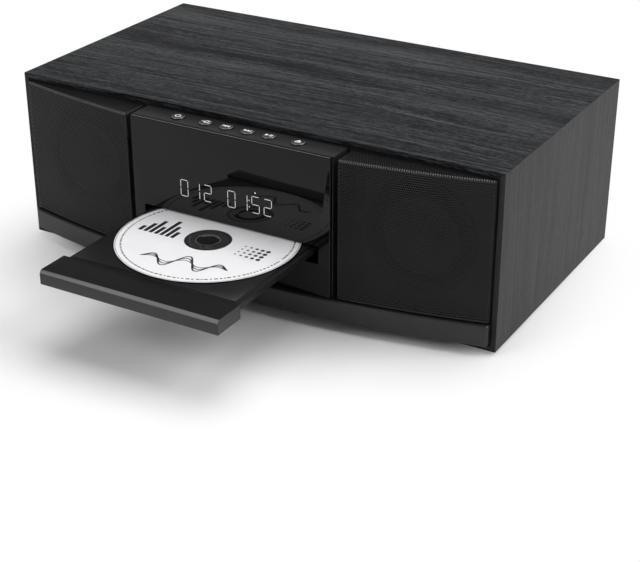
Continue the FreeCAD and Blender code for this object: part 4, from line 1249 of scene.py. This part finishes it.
def floor():
    """Pale floor that keeps the shadows near the object and fades to white further out."""
    mesh = bpy.data.meshes.new("floor")
    h = FLOOR_HALF
    mesh.from_pydata([(-h, -h, 0), (h, -h, 0), (h, h, 0), (-h, h, 0)], [], [[0, 1, 2, 3]])
    made = bpy.data.objects.new("floor", mesh)
    bpy.context.scene.collection.objects.link(made)
    finish, tree, shader = blank("floor", Roughness=0.9, Specular_IOR_Level=0.0)
    shader.inputs["Base Color"].default_value = (FLOOR_COLOUR, FLOOR_COLOUR, FLOOR_COLOUR, 1.0)
    offset = add_node(
        tree, "ShaderNodeVectorMath", {0: places(tree), 1: FADE_CENTRE}, operation="SUBTRACT"
    )
    oval = add_node(
        tree, "ShaderNodeVectorMath", {0: offset.outputs["Vector"], 1: FADE_SHAPE}, operation="MULTIPLY"
    )
    distance = add_node(tree, "ShaderNodeVectorMath", {0: oval.outputs["Vector"]}, operation="LENGTH")
    fade = add_node(
        tree,
        "ShaderNodeMapRange",
        {"Value": distance.outputs["Value"], "From Min": FLOOR_FADE[0], "From Max": FLOOR_FADE[1]},
        interpolation_type="SMOOTHSTEP",
    )
    share = combine(tree, "MULTIPLY", fade.outputs["Result"], background_share(tree))
    white = add_node(tree, "ShaderNodeEmission", {"Color": (1.0, 1.0, 1.0, 1.0), "Strength": 1.0})
    mix = add_node(
        tree, "ShaderNodeMixShader", {0: share, 1: shader.outputs["BSDF"], 2: white.outputs["Emission"]}
    )
    tree.links.new(mix.outputs["Shader"], tree.nodes["Material Output"].inputs["Surface"])
    mesh.materials.append(finish)


def sky():
    """Even light from all round, seen as white walls under a darker ceiling."""
    world = bpy.data.worlds.new("studio")
    bpy.context.scene.world = world
    world.use_nodes = True
    tree = world.node_tree
    way = add_node(tree, "ShaderNodeTexCoord").outputs["Generated"]
    height = add_node(tree, "ShaderNodeSeparateXYZ", {"Vector": way}).outputs["Z"]
    wall = spread(tree, height, 1.0, CEILING_LIGHT, WALL_TOP)
    above_plain = combine(tree, "SUBTRACT", wall, SKY_LIGHT)
    strength = combine(tree, "MULTIPLY_ADD", background_share(tree), above_plain, SKY_LIGHT)
    light = tree.nodes["Background"]
    light.inputs["Color"].default_value = (1.0, 1.0, 1.0, 1.0)
    tree.links.new(strength, light.inputs["Strength"])


def lamp(name, place, size, power, target=(0.0, 0.0, 0.05)):
    """Soft square lamp that points at the object."""
    light = bpy.data.lights.new(name, "AREA")
    light.shape = "SQUARE"
    light.size = size
    light.energy = power
    made = bpy.data.objects.new(name, light)
    bpy.context.scene.collection.objects.link(made)
    made.location = place
    way = Vector(target) - Vector(place)
    made.rotation_mode = "QUATERNION"
    made.rotation_quaternion = way.to_track_quat("-Z", "Y")


def lights():
    lamp("right_lamp", (1.4, 0.3, 1.1), 1.1, 18.0)
    lamp("top_lamp", (0.1, 0.4, 1.9), 1.4, 18.0)
    lamp("front_lamp", (-0.69, -1.18, 0.99), 0.75, 7.0)


def camera():
    lens = bpy.data.cameras.new("camera")
    lens.lens = CAMERA_LENS
    lens.sensor_width = SENSOR_WIDTH
    lens.sensor_fit = "HORIZONTAL"
    lens.clip_start = 0.01
    made = bpy.data.objects.new("camera", lens)
    bpy.context.scene.collection.objects.link(made)
    made.location = CAMERA_PLACE
    made.rotation_euler = (math.radians(90 - CAMERA_ELEVATION), 0.0, math.radians(CAMERA_AZIMUTH))
    bpy.context.scene.camera = made


dress_nodes()
cabinet()
feet()
for side in SIDES:
    grille(side)
console()
keys()
display()
tray()
disc()
drivers()
rear()
floor()
sky()
lights()
camera()
bpy.context.scene.view_settings.view_transform = "Standard"
